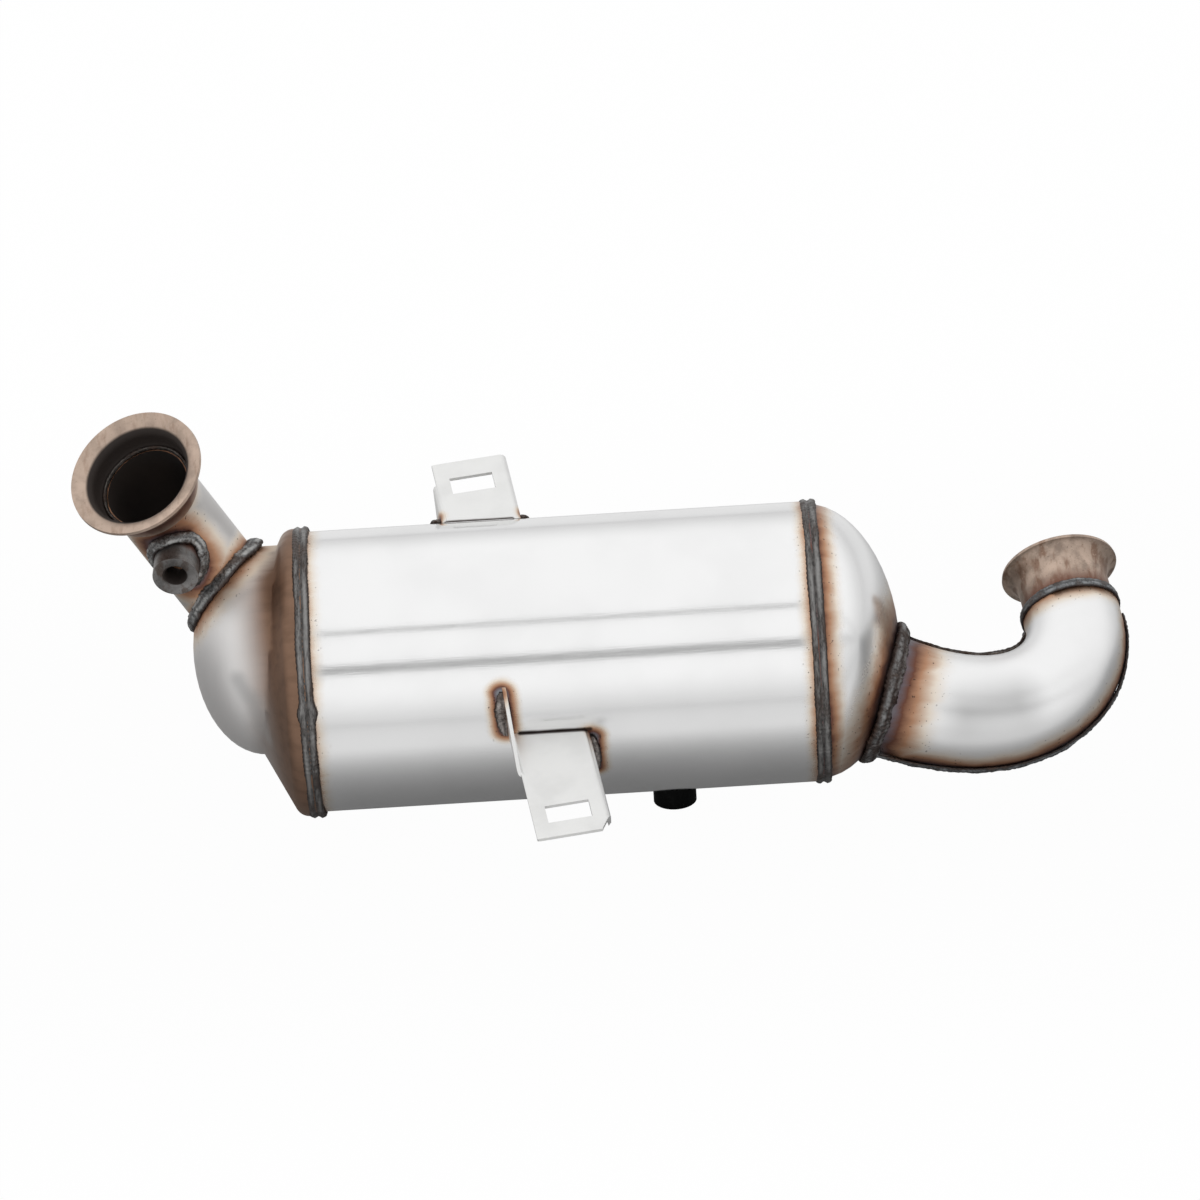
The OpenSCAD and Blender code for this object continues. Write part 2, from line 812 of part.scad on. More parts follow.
module outlet_flange() {
    rim_r = outlet_rim_od / 2;
    color("burlywood") pipe_place() bend_place(pipe_bend)
        rotate_extrude() polygon(concat(
            [
                [outlet_socket_r + flange_wall, -outlet_socket],
                [outlet_socket_r, -outlet_socket],
                [outlet_socket_r, 0],
                [outlet_throat_r, outlet_step_len]
            ],
            flare(outlet_throat_r, rim_r, outlet_flare_z, outlet_flare_len, 0),
            backwards(flare(outlet_throat_r, rim_r, outlet_flare_z, outlet_flare_len, flange_wall)),
            [
                [outlet_throat_r + flange_wall, outlet_step_len],
                [outlet_socket_r + flange_wall, 0]
            ]
        ));
}

// A fillet on the pipe's end and against the taper above it
module outlet_flange_weld() {
    lean = (outlet_throat_r - outlet_socket_r) / outlet_step_len;
    color("dimgray") pipe_place() bend_place(pipe_bend)
        rotate_extrude() polygon([
            [pipe_ir, weld_gap],
            [pipe_r, weld_gap],
            [pipe_r + lean * throat_weld, weld_gap + throat_weld],
            [pipe_r - throat_weld / 4, weld_gap + throat_weld * bead_shoulder]
        ]);
}

// Sensor boss on the bend, coped to the pipe

module sensor_boss() {
    color("gray") difference() {
        at(boss_base, boss_dir, boss_along) difference() {
            cylinder(h = boss_top, d = boss_od);
            cylinder(h = boss_top + over, d = boss_bore);
            translate([0, 0, boss_top - boss_chamfer])
                cylinder(h = 2 * boss_chamfer, d1 = boss_bore, d2 = boss_bore + 4 * boss_chamfer);
        }
        pipe_place() bend_sweep(full_turn) circle(r = pipe_r + fit_gap);
    }
}

function bend_body(p) =
    let(
        q = p - pipe_pivot,
        run = q * pipe_start,
        side = q * bend_axis,
        flat = run < 0 ? -q * pipe_in : norm(q - side * bend_axis)
    )
    norm([flat - pipe_bend_r, side]) - pipe_r;

module sensor_boss_weld() {
    color("dimgray")
        stub_weld(
            function(p) bend_body(p), boss_base, boss_dir, boss_along, boss_od / 2, boss_weld,
            0, pipe_od
        );
}

// Pressure tap between the two bricks, closed by a push-on cap

module tap_boss() {
    color("gray") difference() {
        at([tap_x, 0, 0], tap_dir, [1, 0, 0]) difference() {
            cylinder(h = can_r + tap_len, d = tap_od);
            cylinder(h = can_r + tap_len + over, d = tap_bore);
        }
        along_x(-end_x) cylinder(h = can_len, r = can_r + fit_gap);
    }
}

module tap_boss_weld() {
    color("dimgray")
        stub_weld(
            function(p) norm([p[1], p[2]]) - can_r, [tap_x, 0, 0], tap_dir, [1, 0, 0],
            tap_od / 2, tap_weld, 0, can_od
        );
}

module tap_cap() {
    height = tap_len - cap_lift + cap_end;
    color("black") at([tap_x, 0, 0], tap_dir, [1, 0, 0])
        translate([0, 0, can_r + cap_lift]) difference() {
            cylinder(h = height, d = cap_od);
            translate([0, 0, -over])
                cylinder(h = height - cap_end + over + fit_gap, d = tap_od + 2 * fit_gap);
        }
}

// Brackets: folded sheet, drawn with the plate going out along +Y and its upper face at z = 0

// A fold's quarter ring, from the plate's side to a leg that goes up (1) or down (-1)
module fold(up) {
    flipped = up > 0 ? 0 : 1;
    outer = fold_r + bracket_wall;
    mirror([0, flipped]) translate([0, fold_r]) difference() {
        intersection() {
            circle(r = outer);
            translate([0, -outer]) square(outer);
        }
        circle(r = fold_r);
    }
}

// The sheet's section across the plate: left and right legs of a length, up (1) or down (-1)
module sheet_section(left_leg, left_up, right_leg, right_up) {
    outer = fold_r + bracket_wall;
    half = bracket_w / 2 - outer;
    translate([-half, -bracket_wall]) square([2 * half, bracket_wall]);
    for (side = [[-1, left_leg, left_up], [1, right_leg, right_up]]) {
        leg = side[1] - outer;
        base = side[2] > 0 ? 0 : -bracket_wall;
        mirror([side[0] < 0 ? 1 : 0, 0]) translate([half, base]) {
            fold(side[2]);
            translate([fold_r, side[2] > 0 ? fold_r : -fold_r - leg]) square([bracket_wall, leg]);
        }
    }
}

// Places a bracket: its middle line crosses the axis at x and goes out at an angle about Z
module bracket_place(x, z, angle) {
    translate([x, 0, z]) rotate([0, 0, angle]) children();
}

// The same from the canister's frame, for what a bracket is trimmed to
module bracket_unplace(x, z, angle) {
    rotate([0, 0, -angle]) translate([-x, 0, -z]) children();
}

// A prism through the sheet's side view, over one half of its width
module side_trim(points, half) {
    width = bracket_w / 2 + over;
    translate([half < 0 ? -width : 0, 0, 0])
        rotate([90, 0, 90]) linear_extrude(width) polygon(points);
}

module slot(distance) {
    translate([-slot_len / 2, distance - slot_w / 2, -bracket_wall - over])
        cube([slot_len, slot_w, bracket_wall + 2 * over]);
}

module can_trim(x, z, angle) {
    bracket_unplace(x, z, angle) along_x(-end_x) cylinder(h = can_len, r = can_r + fit_gap);
}

front_turn = 180 + bracket_turn;
front_z = can_r - front_drop;
front_end = can_r + front_reach;
front_slot = front_end - front_slot_inset;
front_gusset_end = can_r + front_gusset_reach;
front_gusset_top = front_z + front_gusset;
front_flange_foot = front_z - front_flange;

// A level plate with a gusset folded up on one side and a long flange folded down on the other
module front_bracket() {
    reach = front_end - corner_len;
    half = bracket_w / 2;
    low = bracket_wall + fold_r;
    color("whitesmoke") bracket_place(front_x, front_z, front_turn) difference() {
        intersection() {
            translate([0, front_end, 0]) rotate([90, 0, 0])
                linear_extrude(front_end) sheet_section(front_flange, -1, front_gusset + bracket_wall, 1);
            union() {
                side_trim([
                    [0, -bracket_wall],
                    [front_end, -bracket_wall],
                    [front_end, 0],
                    [front_gusset_end, 0],
                    [sqrt(can_r * can_r - front_gusset_top * front_gusset_top), front_gusset],
                    [0, front_gusset]
                ], 1);
                side_trim([
                    [0, 0],
                    [front_end, 0],
                    [front_end, -low],
                    [can_r + low, -front_flange],
                    [0, -front_flange]
                ], -1);
            }
            translate([0, 0, -can_r]) linear_extrude(can_od) polygon([
                [half, 0],
                [half, front_gusset_end],
                [half - bracket_wall, front_gusset_end],
                [half - bracket_wall, front_end],
                [-half + corner_w, front_end],
                [-half, reach],
                [-half, 0]
            ]);
        }
        slot(front_slot);
        can_trim(front_x, front_z, front_turn);
    }
}

rear_z = can_r - rear_drop;
rear_end = can_r + rear_reach;
rear_slot = rear_end - rear_slot_inset;
rear_gusset_end = can_r + rear_gusset_reach;
rear_flange_foot = rear_z - rear_flange;

// A level plate with a flange folded down on each side
module rear_bracket() {
    half = bracket_w / 2;
    low = bracket_wall + fold_r;
    color("whitesmoke") bracket_place(rear_x, rear_z, bracket_turn) difference() {
        intersection() {
            translate([0, rear_end, 0]) rotate([90, 0, 0])
                linear_extrude(rear_end) sheet_section(rear_flange, -1, rear_flange, -1);
            union() {
                side_trim([
                    [0, 0],
                    [rear_end, 0],
                    [rear_end, -low],
                    [can_r + low, -rear_flange],
                    [0, -rear_flange]
                ], 1);
                side_trim([
                    [0, 0],
                    [rear_end, 0],
                    [rear_end, -bracket_wall],
                    [rear_gusset_end, -bracket_wall],
                    [can_r, -rear_flange],
                    [0, -rear_flange]
                ], -1);
            }
            translate([0, 0, -can_r]) linear_extrude(can_od) polygon([
                [half, 0],
                [half, rear_end],
                [-half + bracket_wall, rear_end],
                [-half + bracket_wall, rear_gusset_end],
                [-half, rear_gusset_end],
                [-half, 0]
            ]);
        }
        slot(rear_slot);
        can_trim(rear_x, rear_z, bracket_turn);
    }
}

// How far out along the plate the canister's side is, at a place across it and a level
function can_reach(across_x, level, angle) =
    (sqrt(pow(can_r + fit_gap, 2) - level * level) - across_x * sin(angle)) / cos(angle);

// A bead where a bracket's leg stands on the canister, on the outside of the leg
module leg_weld(side, angle, z, low, high) {
    face = side * (bracket_w / 2 + weld_gap);
    loft([
        for (i = [0:bead_steps])
        let(
            level = mix(low, high, i / bead_steps),
            leg = bracket_weld * mix(bead_tail, 1, sin(180 * i / bead_steps)),
            toe_x = face + side * leg,
            root = [face, can_reach(face, level, angle) + weld_gap, level - z],
            toe_a = [toe_x, can_reach(toe_x, level, angle) + weld_gap, level - z],
            out = unit([0, sqrt(can_r * can_r - level * level), level]),
            ring = fillet(root, toe_a, root + leg * out, leg / 5 * unit([side, 0, 0] + out))
        )
        side > 0 ? ring : backwards(ring)
    ]);
}

// Levels where the gusset and flanges meet the canister, short of the folds
fold_room = bracket_wall + fold_r;

module front_bracket_welds() {
    color("dimgray") bracket_place(front_x, front_z, front_turn) {
        leg_weld(1, bracket_turn, front_z, front_z + fold_r, front_gusset_top - fold_r);
        leg_weld(-1, bracket_turn, front_z, front_flange_foot + fold_r, front_z - fold_room);
    }
}

module rear_bracket_welds() {
    color("dimgray") bracket_place(rear_x, rear_z, bracket_turn) {
        leg_weld(1, bracket_turn, rear_z, rear_flange_foot + fold_r, rear_z - fold_room);
        leg_weld(-1, bracket_turn, rear_z, rear_flange_foot + fold_r, rear_z - fold_room);
    }
}

// The part's origin: the middle of the inlet flange's straight throat
origin = elbow_mouth + (inlet_flare_z + inlet_throat_z) / 2 * elbow_end;

module part() {
    translate(-origin) children();
}

part() canister_shell();
part() catalyst_brick();
part() catalyst_mat();
part() filter_brick();
part() filter_mat();
part() inlet_cone();
part() inlet_girth_weld();
part() elbow_upper_half();
part() elbow_lower_half();
part() elbow_outer_seam_weld();
part() elbow_inner_seam_weld();
part() elbow_port_weld();
part() inlet_flange();
part() inlet_flange_weld();
part() outlet_cone();
part() outlet_girth_weld();
part() outlet_pipe();
part() outlet_pipe_weld();
part() outlet_flange();
part() outlet_flange_weld();
part() sensor_boss();
part() sensor_boss_weld();
part() tap_boss();
part() tap_boss_weld();
part() tap_cap();
part() front_bracket();
part() front_bracket_welds();
part() rear_bracket();
part() rear_bracket_welds();
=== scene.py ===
"""Dresses the diesel particulate filter in heat-tinted stainless, with rippled welds."""

import math
from dataclasses import dataclass

import bmesh
import bpy
import numpy as np
from bpy.props import FloatProperty, FloatVectorProperty, IntProperty, PointerProperty
from mathutils import Matrix, Vector


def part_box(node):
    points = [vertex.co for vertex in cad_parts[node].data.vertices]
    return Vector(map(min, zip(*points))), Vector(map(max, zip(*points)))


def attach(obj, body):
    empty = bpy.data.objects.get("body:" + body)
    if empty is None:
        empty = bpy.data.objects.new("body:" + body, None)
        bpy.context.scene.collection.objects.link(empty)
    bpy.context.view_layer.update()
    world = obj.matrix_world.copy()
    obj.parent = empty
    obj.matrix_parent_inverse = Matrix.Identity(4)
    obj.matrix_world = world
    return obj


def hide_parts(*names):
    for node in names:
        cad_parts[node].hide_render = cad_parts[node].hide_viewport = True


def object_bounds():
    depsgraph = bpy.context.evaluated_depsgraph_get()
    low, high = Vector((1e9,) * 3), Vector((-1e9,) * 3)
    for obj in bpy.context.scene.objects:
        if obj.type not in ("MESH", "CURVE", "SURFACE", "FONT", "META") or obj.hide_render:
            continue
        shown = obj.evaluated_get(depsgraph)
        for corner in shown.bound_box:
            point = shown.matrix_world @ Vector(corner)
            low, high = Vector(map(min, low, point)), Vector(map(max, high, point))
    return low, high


bl_info = {
    "name": "Diesel Particulate Filter",
    "version": (1, 0, 0),
    "blender": (4, 5, 0),
    "location": "3D View > Sidebar > Filter",
    "description": "Dresses a welded stainless particulate filter",
    "category": "Object",
}

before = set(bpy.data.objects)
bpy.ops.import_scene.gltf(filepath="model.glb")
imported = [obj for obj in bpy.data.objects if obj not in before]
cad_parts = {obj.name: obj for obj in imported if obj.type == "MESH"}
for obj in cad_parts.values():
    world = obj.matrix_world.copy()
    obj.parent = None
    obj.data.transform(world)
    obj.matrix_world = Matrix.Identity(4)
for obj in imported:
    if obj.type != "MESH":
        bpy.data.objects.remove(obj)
LOADED_BOX = [list(corner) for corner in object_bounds()]
MM = 0.001

# Colours, as linear red, green and blue
BRIGHT_STEEL = (0.84, 0.84, 0.84)
OUTLET_CAP_STEEL = (0.76, 0.745, 0.735)
PIPE_STEEL = (0.50, 0.485, 0.475)
TAP_STEEL = (0.42, 0.41, 0.40)
BRACKET_STEEL = (0.78, 0.78, 0.77)
# Grey of the painted dark reflection on the elbow's bend and the painted crease shadow on the hump
PAINTED_SHADE_GREY = (0.32, 0.32, 0.32)
FLANGE_OXIDE = (0.49, 0.378, 0.305)
BOSS_OXIDE = (0.2, 0.193, 0.188)
COLLAR_BRONZE = (0.24, 0.147, 0.1)
SOOT = (0.012, 0.009, 0.008)
BROWN_SOOT = (0.026, 0.018, 0.014)
FLANGE_SOOT = (0.02, 0.013, 0.010)
# Painted contact shadow where a bracket's plate meets the canister
CONTACT_SHADOW_BLACK = (0.04, 0.026, 0.022)
SPATTER = (0.06, 0.04, 0.035)
CAP_BLACK = (0.004, 0.004, 0.004)
CAP_DUST = (0.018, 0.018, 0.017)
CATALYST_TAN = (0.40, 0.29, 0.17)
FILTER_GREY = (0.09, 0.09, 0.095)
MAT_FIBRE = (0.72, 0.69, 0.60)

# Heat tint, from a weld out to clear sheet
TINT_BROWN = (0.15, 0.066, 0.045)
TEMPER = (
    (0.0, (0.21, 0.215, 0.23)),
    (0.13, (0.15, 0.12, 0.13)),
    (0.24, TINT_BROWN),
    (0.40, (0.44, 0.245, 0.15)),
    (0.66, (0.74, 0.64, 0.53)),
    (1.0, (0.80, 0.79, 0.78)),
)

# Weld scale, as its body and the painted highlight on its ridges
GREY_SCALE = ((0.15, 0.155, 0.16), (0.31, 0.32, 0.33))
GIRTH_SCALE = ((0.12, 0.112, 0.108), (0.27, 0.265, 0.26))
PALE_SCALE = ((0.2, 0.2, 0.2), (0.44, 0.44, 0.43))
BURNT_SCALE = ((0.10, 0.082, 0.076), (0.26, 0.26, 0.26))
SOOTED_SCALE = ((0.05, 0.042, 0.038), (0.12, 0.11, 0.1))
BRACKET_SCALE = ((0.19, 0.17, 0.16), (0.42, 0.385, 0.365))
# Painted shade at a bead's toes
SCALE_TOE_SHADE = (0.035, 0.022, 0.018)
SCALE_BROWN = (0.085, 0.055, 0.042)

# Half of the length along which a bracket's plate meets the canister, and how near they meet
PLATE_HALF = 19 * MM
PLATE_GAP = 1.5 * MM


def node_points(node):
    """The corner points of a CAD node, as an array."""
    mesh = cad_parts[node].data
    points = np.empty(len(mesh.vertices) * 3, np.float32)
    mesh.vertices.foreach_get("co", points)
    return points.reshape(-1, 3).astype(float)


def middle(node):
    """The middle of a CAD node's box."""
    low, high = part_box(node)
    return (low + high) / 2


CAN_MIDDLE = middle("canister_shell")
CAN_RADIUS = (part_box("canister_shell")[1].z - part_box("canister_shell")[0].z) / 2


# Shader and geometry maths


class Value:
    """A node's output, for use in an expression."""

    def __init__(self, graph, socket):
        self.graph = graph
        self.socket = socket

    def _math(self, operation, first, second=None):
        values = {0: first} if second is None else {0: first, 1: second}
        return self.graph.value("ShaderNodeMath", {"operation": operation}, values)

    def __add__(self, other):
        return self._math("ADD", self, other)

    def __radd__(self, other):
        return self._math("ADD", other, self)

    def __sub__(self, other):
        return self._math("SUBTRACT", self, other)

    def __rsub__(self, other):
        return self._math("SUBTRACT", other, self)

    def __mul__(self, other):
        return self._math("MULTIPLY", self, other)

    def __rmul__(self, other):
        return self._math("MULTIPLY", other, self)

    def __truediv__(self, other):
        return self._math("DIVIDE", self, other)

    def __rtruediv__(self, other):
        return self._math("DIVIDE", other, self)

    def __abs__(self):
        return self._math("ABSOLUTE", self)

    def least(self, other):
        return self._math("MINIMUM", self, other)

    def most(self, other):
        return self._math("MAXIMUM", self, other)

    def root(self):
        return self._math("SQRT", self)

    def sine(self):
        return self._math("SINE", self)


def least_of(values):
    """The smallest of some outputs."""
    least = values[0]
    for value in values[1:]:
        least = least.least(value)
    return least


class Graph:
    """Adds nodes to a tree."""

    def __init__(self, tree):
        self.tree = tree

    def node(self, kind, settings=None, values=None):
        made = self.tree.nodes.new(kind)
        for name, setting in (settings or {}).items():
            if name == "stops":
                self._stops(made.color_ramp, setting)
            else:
                setattr(made, name, setting)
        for name, value in (values or {}).items():
            socket = made.inputs[name]
            if isinstance(value, Value):
                self.tree.links.new(value.socket, socket)
            elif isinstance(value, (tuple, Vector)) and len(value) == 3 and socket.type == "RGBA":
                socket.default_value = (*value, 1)
            else:
                socket.default_value = value
        return made

    @staticmethod
    def _stops(ramp, stops):
        while len(ramp.elements) < len(stops):
            ramp.elements.new(1)
        for element, (position, colour) in zip(ramp.elements, stops):
            element.position = position
            element.color = (*colour, 1)

    def value(self, kind, settings=None, values=None, output=0):
        return Value(self, self.node(kind, settings, values).outputs[output])

    def vector(self, operation, first, second=(0, 0, 0), output=0):
        return self.value(
            "ShaderNodeVectorMath", {"operation": operation}, {0: first, 1: second}, output
        )

    def scaled(self, first, factor):
        return self.value(
            "ShaderNodeVectorMath", {"operation": "SCALE"}, {0: first, "Scale": factor}
        )

    def dot(self, first, second):
        return self.vector("DOT_PRODUCT", first, second, "Value")

    def length(self, first):
        return self.vector("LENGTH", first, output="Value")

    def mix(self, factor, first, second):
        return self.value(
            "ShaderNodeMix", {"data_type": "RGBA"}, {0: factor, 6: first, 7: second}, 2
        )

    def smooth(self, value, low, high):
        """0 up to low and 1 from high on, with a soft rise between."""
        return self.value(
            "ShaderNodeMapRange",
            {"interpolation_type": "SMOOTHSTEP"},
            {"Value": value, "From Min": low, "From Max": high},
        )

    def attribute(self, name):
        """A mesh attribute, in a material."""
        return self.value("ShaderNodeAttribute", {"attribute_name": name}, output="Fac")

    def stored(self, name, kind="FLOAT"):
        """An attribute, in a geometry tree."""
        return self.value("GeometryNodeInputNamedAttribute", {"data_type": kind}, {"Name": name})

    def store(self, geometry, name, value):
        return self.value(
            "GeometryNodeStoreNamedAttribute",
            {"data_type": "FLOAT", "domain": "POINT"},
            {"Geometry": geometry, "Name": name, "Value": value},
        )

    def bump(self, height, strength, distance):
        """A normal that follows a height, over a distance in mm."""
        return self.value(
            "ShaderNodeBump",
            None,
            {"Strength": strength, "Distance": distance * MM, "Height": height},
        )

    def place(self):
        """Where a point of the piece is."""
        return self.value("ShaderNodeTexCoord", output="Object")

    def noise(self, place, size, stretch=(1, 1, 1), detail=2.0, roughness=0.5):
        """Noise of a size; a stretch under 1 draws it out along that axis."""
        scaled = self.value(
            "ShaderNodeMapping", {"vector_type": "POINT"}, {"Vector": place, "Scale": stretch}
        )
        return self.value(
            "ShaderNodeTexNoise",
            None,
            {"Vector": scaled, "Scale": 1 / size, "Detail": detail, "Roughness": roughness},
        )

    def ring_distance(self, place, ring):
        """How far a place is from a circle."""
        out = self.vector("SUBTRACT", place, ring.centre)
        height = self.dot(out, ring.axis)
        flat = (self.dot(out, out) - height * height).most(0).root()
        aside = flat - ring.radius
        return (aside * aside + height * height).root()

    def line_distance(self, place, ends):
        """How far a place is from a straight line between two points."""
        first, last = ends
        run = last - first
        out = self.vector("SUBTRACT", place, first)
        share = (self.dot(out, run) / run.length_squared).most(0).least(1)
        return self.length(self.vector("SUBTRACT", out, self.scaled(run, share)))

    def chain_distance(self, place, points):
        """How far a place is from a chain of points."""
        ends = zip(points, points[1:])
        return least_of([self.line_distance(place, pair) for pair in ends])


# Places of the welds, read from the CAD beads


class Ring:
    """A circle: its centre, axis and radius."""

    def __init__(self, centre, axis, radius):
        self.centre = Vector(centre)
        self.axis = Vector(axis).normalized()
        self.radius = float(radius)

    def sides(self):
        """Two directions across the axis."""
        first = self.axis.orthogonal().normalized()
        return first, self.axis.cross(first)


def fitted_ring(node, towards):
    """The circle that a ring-shaped or bent bead follows, with its axis to one side."""
    points = node_points(node)
    centre = points.mean(0)
    axis = np.linalg.svd(points - centre, full_matrices=False)[2][2]
    if axis @ np.array(towards) < 0:
        axis = -axis
    ring = Ring(centre, axis, 1)
    first, second = (np.array(side) for side in ring.sides())
    flat = np.c_[(points - centre) @ first, (points - centre) @ second]
    system = np.c_[2 * flat, np.ones(len(flat))]
    x, y, rest = np.linalg.lstsq(system, (flat**2).sum(1), rcond=None)[0]
    radius = math.sqrt(rest + x * x + y * y)
    return Ring(centre + x * first + y * second, axis, radius)


def bead_lines(node):
    """The two upright beads of a bracket, each as its lower and upper end."""
    points = node_points(node)
    split = (points[:, 0].min() + points[:, 0].max()) / 2
    lines = []
    for half in (points[points[:, 0] < split], points[points[:, 0] >= split]):
        low, high = half[:, 2].min(), half[:, 2].max()
        reach = (high - low) / 8
        ends = (half[half[:, 2] < low + reach], half[half[:, 2] > high - reach])
        lines.append(tuple(Vector(end.mean(0)) for end in ends))
    return lines


def plate_edge(node):
    """The line along which a bracket's plate meets the canister, seen from above."""
    points = node_points(node)
    out = np.hypot(points[:, 1] - CAN_MIDDLE.y, points[:, 2] - CAN_MIDDLE.z)
    across = middle(node).x
    inner = (abs(out - CAN_RADIUS) < PLATE_GAP) & (abs(points[:, 0] - across) < PLATE_HALF)
    top = points[inner][points[inner][:, 2].argmax()]
    return tuple(Vector((across + side * PLATE_HALF, top[1], top[2])) for side in (-1, 1))


def girth_ring(node):
    """The circle on the canister that a girth bead follows."""
    centre = middle(node)
    return Ring((centre.x, CAN_MIDDLE.y, CAN_MIDDLE.z), (1, 0, 0), CAN_RADIUS)


RINGS = {
    "inlet_girth_weld": girth_ring("inlet_girth_weld"),
    "outlet_girth_weld": girth_ring("outlet_girth_weld"),
    "elbow_port_weld": fitted_ring("elbow_port_weld", (1, 0, 0)),
    "inlet_flange_weld": fitted_ring("inlet_flange_weld", (0, 1, 0)),
    "outlet_pipe_weld": fitted_ring("outlet_pipe_weld", (-1, 0, 1)),
    "outlet_flange_weld": fitted_ring("outlet_flange_weld", (0, 0, 1)),
    "sensor_boss_weld": fitted_ring("sensor_boss_weld", (0, -1, 0)),
    "tap_boss_weld": fitted_ring("tap_boss_weld", (0, 0, -1)),
    "elbow_outer_seam_weld": fitted_ring("elbow_outer_seam_weld", (0, 0, 1)),
    "elbow_inner_seam_weld": fitted_ring("elbow_inner_seam_weld", (0, 0, 1)),
}
LINES = {node: bead_lines(node) for node in ("front_bracket_welds", "rear_bracket_welds")}
EDGES = {node: plate_edge(node) for node in ("front_bracket", "rear_bracket")}


def seam_middles(node, bins=16):
    """Middles of a seam bead's sections, from one end of the bend to the other."""
    ring = RINGS[node]
    points = node_points(node) - np.array(ring.centre)
    first, second = (np.array(side) for side in ring.sides())
    mean = points.mean(0)
    start = math.atan2(mean @ second, mean @ first)
    turns = (np.arctan2(points @ second, points @ first) - start + math.pi) % math.tau
    low, high = turns.min(), turns.max()
    keys = np.clip(((turns - low) / (high - low) * bins).astype(int), 0, bins - 1)
    groups = (points[keys == key] for key in range(bins))
    return [ring.centre + Vector(group.mean(0)) for group in groups if len(group)]


def from_port(node):
    """A seam's middles in order from the elbow's port to its mouth."""
    port = RINGS["elbow_port_weld"].centre
    return sorted(seam_middles(node), key=lambda point: (point - port).length)


def straight_duct(weld, back, ahead):
    """A straight middle line through a ring weld, from mm behind it to mm ahead."""
    ring = RINGS[weld]
    return [ring.centre - ring.axis * back * MM, ring.centre + ring.axis * ahead * MM]


SEAMS = {node: from_port(node) for node in ("elbow_outer_seam_weld", "elbow_inner_seam_weld")}
ELBOW_MIDDLE = [(first + second) / 2 for first, second in zip(*SEAMS.values())]

# Middle lines of the ducts
DUCTS = {
    "elbow_upper_half": ELBOW_MIDDLE,
    "elbow_lower_half": ELBOW_MIDDLE,
    "outlet_pipe": straight_duct("outlet_pipe_weld", 30, 0) + [RINGS["outlet_flange_weld"].centre],
    "inlet_flange": straight_duct("inlet_flange_weld", 20, 60),
    "outlet_flange": straight_duct("outlet_flange_weld", 20, 60),
    "sensor_boss": straight_duct("sensor_boss_weld", 30, 30),
}


def chain(*points):
    """Points in mm, as vectors."""
    return [Vector(point) * MM for point in points]


@dataclass
class PaintedShade:
    """A painted shade along a chain of points, with its soft reach in mm."""

    points: list
    strength: float
    near: float
    far: float
    matt: float = 0.0


# A painted dark reflection on the front of the elbow's bend, and a painted shadow of a soft crease
# down the hump's lower side
BEND_PAINTED_REFLECTION = PaintedShade(chain((-62, -88, 5), (-36, -84, 5)), 0.72, -6, 24)
HUMP_CREASE_PAINTED_SHADOW = PaintedShade(
    chain((-459.6, -75.5, 52.6), (-451.9, -83.0, 40.8), (-446.3, -87.9, 20.9)), 0.5, 0, 8, matt=0.7
)


# Settings


class FilterSettings(bpy.types.PropertyGroup):
    """Colours, bead sizes and the view"""

    steel_roughness: FloatProperty(
        name="Steel Roughness",
        description="Roughness of the bright sheet",
        default=0.14,
        min=0.05,
        max=1,
    )
    steel_colour: FloatVectorProperty(
        name="Steel",
        description="Colour of the bright sheet",
        default=BRIGHT_STEEL,
        size=3,
        subtype="COLOR",
    )
    oxide_colour: FloatVectorProperty(
        name="Oxide",
        description="Colour of the oxidised flanges",
        default=FLANGE_OXIDE,
        size=3,
        subtype="COLOR",
    )
    bracket_colour: FloatVectorProperty(
        name="Brackets",
        description="Colour of the bracket sheet",
        default=BRACKET_STEEL,
        size=3,
        subtype="COLOR",
    )
    bead_colour: FloatVectorProperty(
        name="Beads",
        description="Colour of the weld scale",
        default=GREY_SCALE[0],
        size=3,
        subtype="COLOR",
    )
    cap_colour: FloatVectorProperty(
        name="Cap",
        description="Colour of the push-on cap",
        default=CAP_BLACK,
        size=3,
        subtype="COLOR",
    )
    ripple_pitch: FloatProperty(
        name="Ripple Pitch",
        description="Distance between the ripples of a weld bead",
        default=3.2 * MM,
        min=1 * MM,
        max=8 * MM,
        unit="LENGTH",
    )
    ripple: FloatProperty(
        name="Ripple",
        description="Height of the ripples, as a share of the bead's height",
        default=0.16,
        min=0,
        max=1,
    )
    bead_lump: FloatProperty(
        name="Bead Lump",
        description="Unevenness of a bead, as a share of its height",
        default=0.75,
        min=0,
        max=2,
    )
    seed: IntProperty(
        name="Seed", description="Seed of the beads' lumps and wander", default=7, min=0
    )
    camera_distance: FloatProperty(
        name="Camera Distance",
        description="Distance from the camera to the point it looks at",
        default=4.0,
        min=1,
        unit="LENGTH",
    )
    frame_width: FloatProperty(
        name="Frame Width",
        description="Width of what the camera sees at that distance",
        default=0.6631,
        min=0.1,
        unit="LENGTH",
    )


def settings():
    """The scene's settings."""
    return bpy.context.scene.particulate_filter


# Materials


def principled(name):
    """A new material, its graph and its shader node."""
    made = bpy.data.materials.new(name)
    made.use_nodes = True
    made.node_tree.nodes.clear()
    graph = Graph(made.node_tree)
    shader = graph.node("ShaderNodeBsdfPrincipled")
    graph.node("ShaderNodeOutputMaterial", None, {"Surface": Value(graph, shader.outputs[0])})
    return made, graph, shader


def feed(graph, shader, **values):
    """Links or sets the shader's sockets."""
    names = {
        "colour": "Base Color",
        "roughness": "Roughness",
        "metallic": "Metallic",
        "normal": "Normal",
    }
    for name, value in values.items():
        socket = shader.inputs[names[name]]
        if isinstance(value, Value):
            graph.tree.links.new(value.socket, socket)
        elif socket.type == "RGBA":
            socket.default_value = (*value, 1)
        else:
            socket.default_value = value


def toned(colour, shares):
    """A colour with each channel multiplied by its share, up to full."""
    return tuple(min(1, channel * share) for channel, share in zip(colour, shares))


def shaded(colour, share):
    """A colour made darker, or lighter up to full."""
    return toned(colour, (share, share, share))


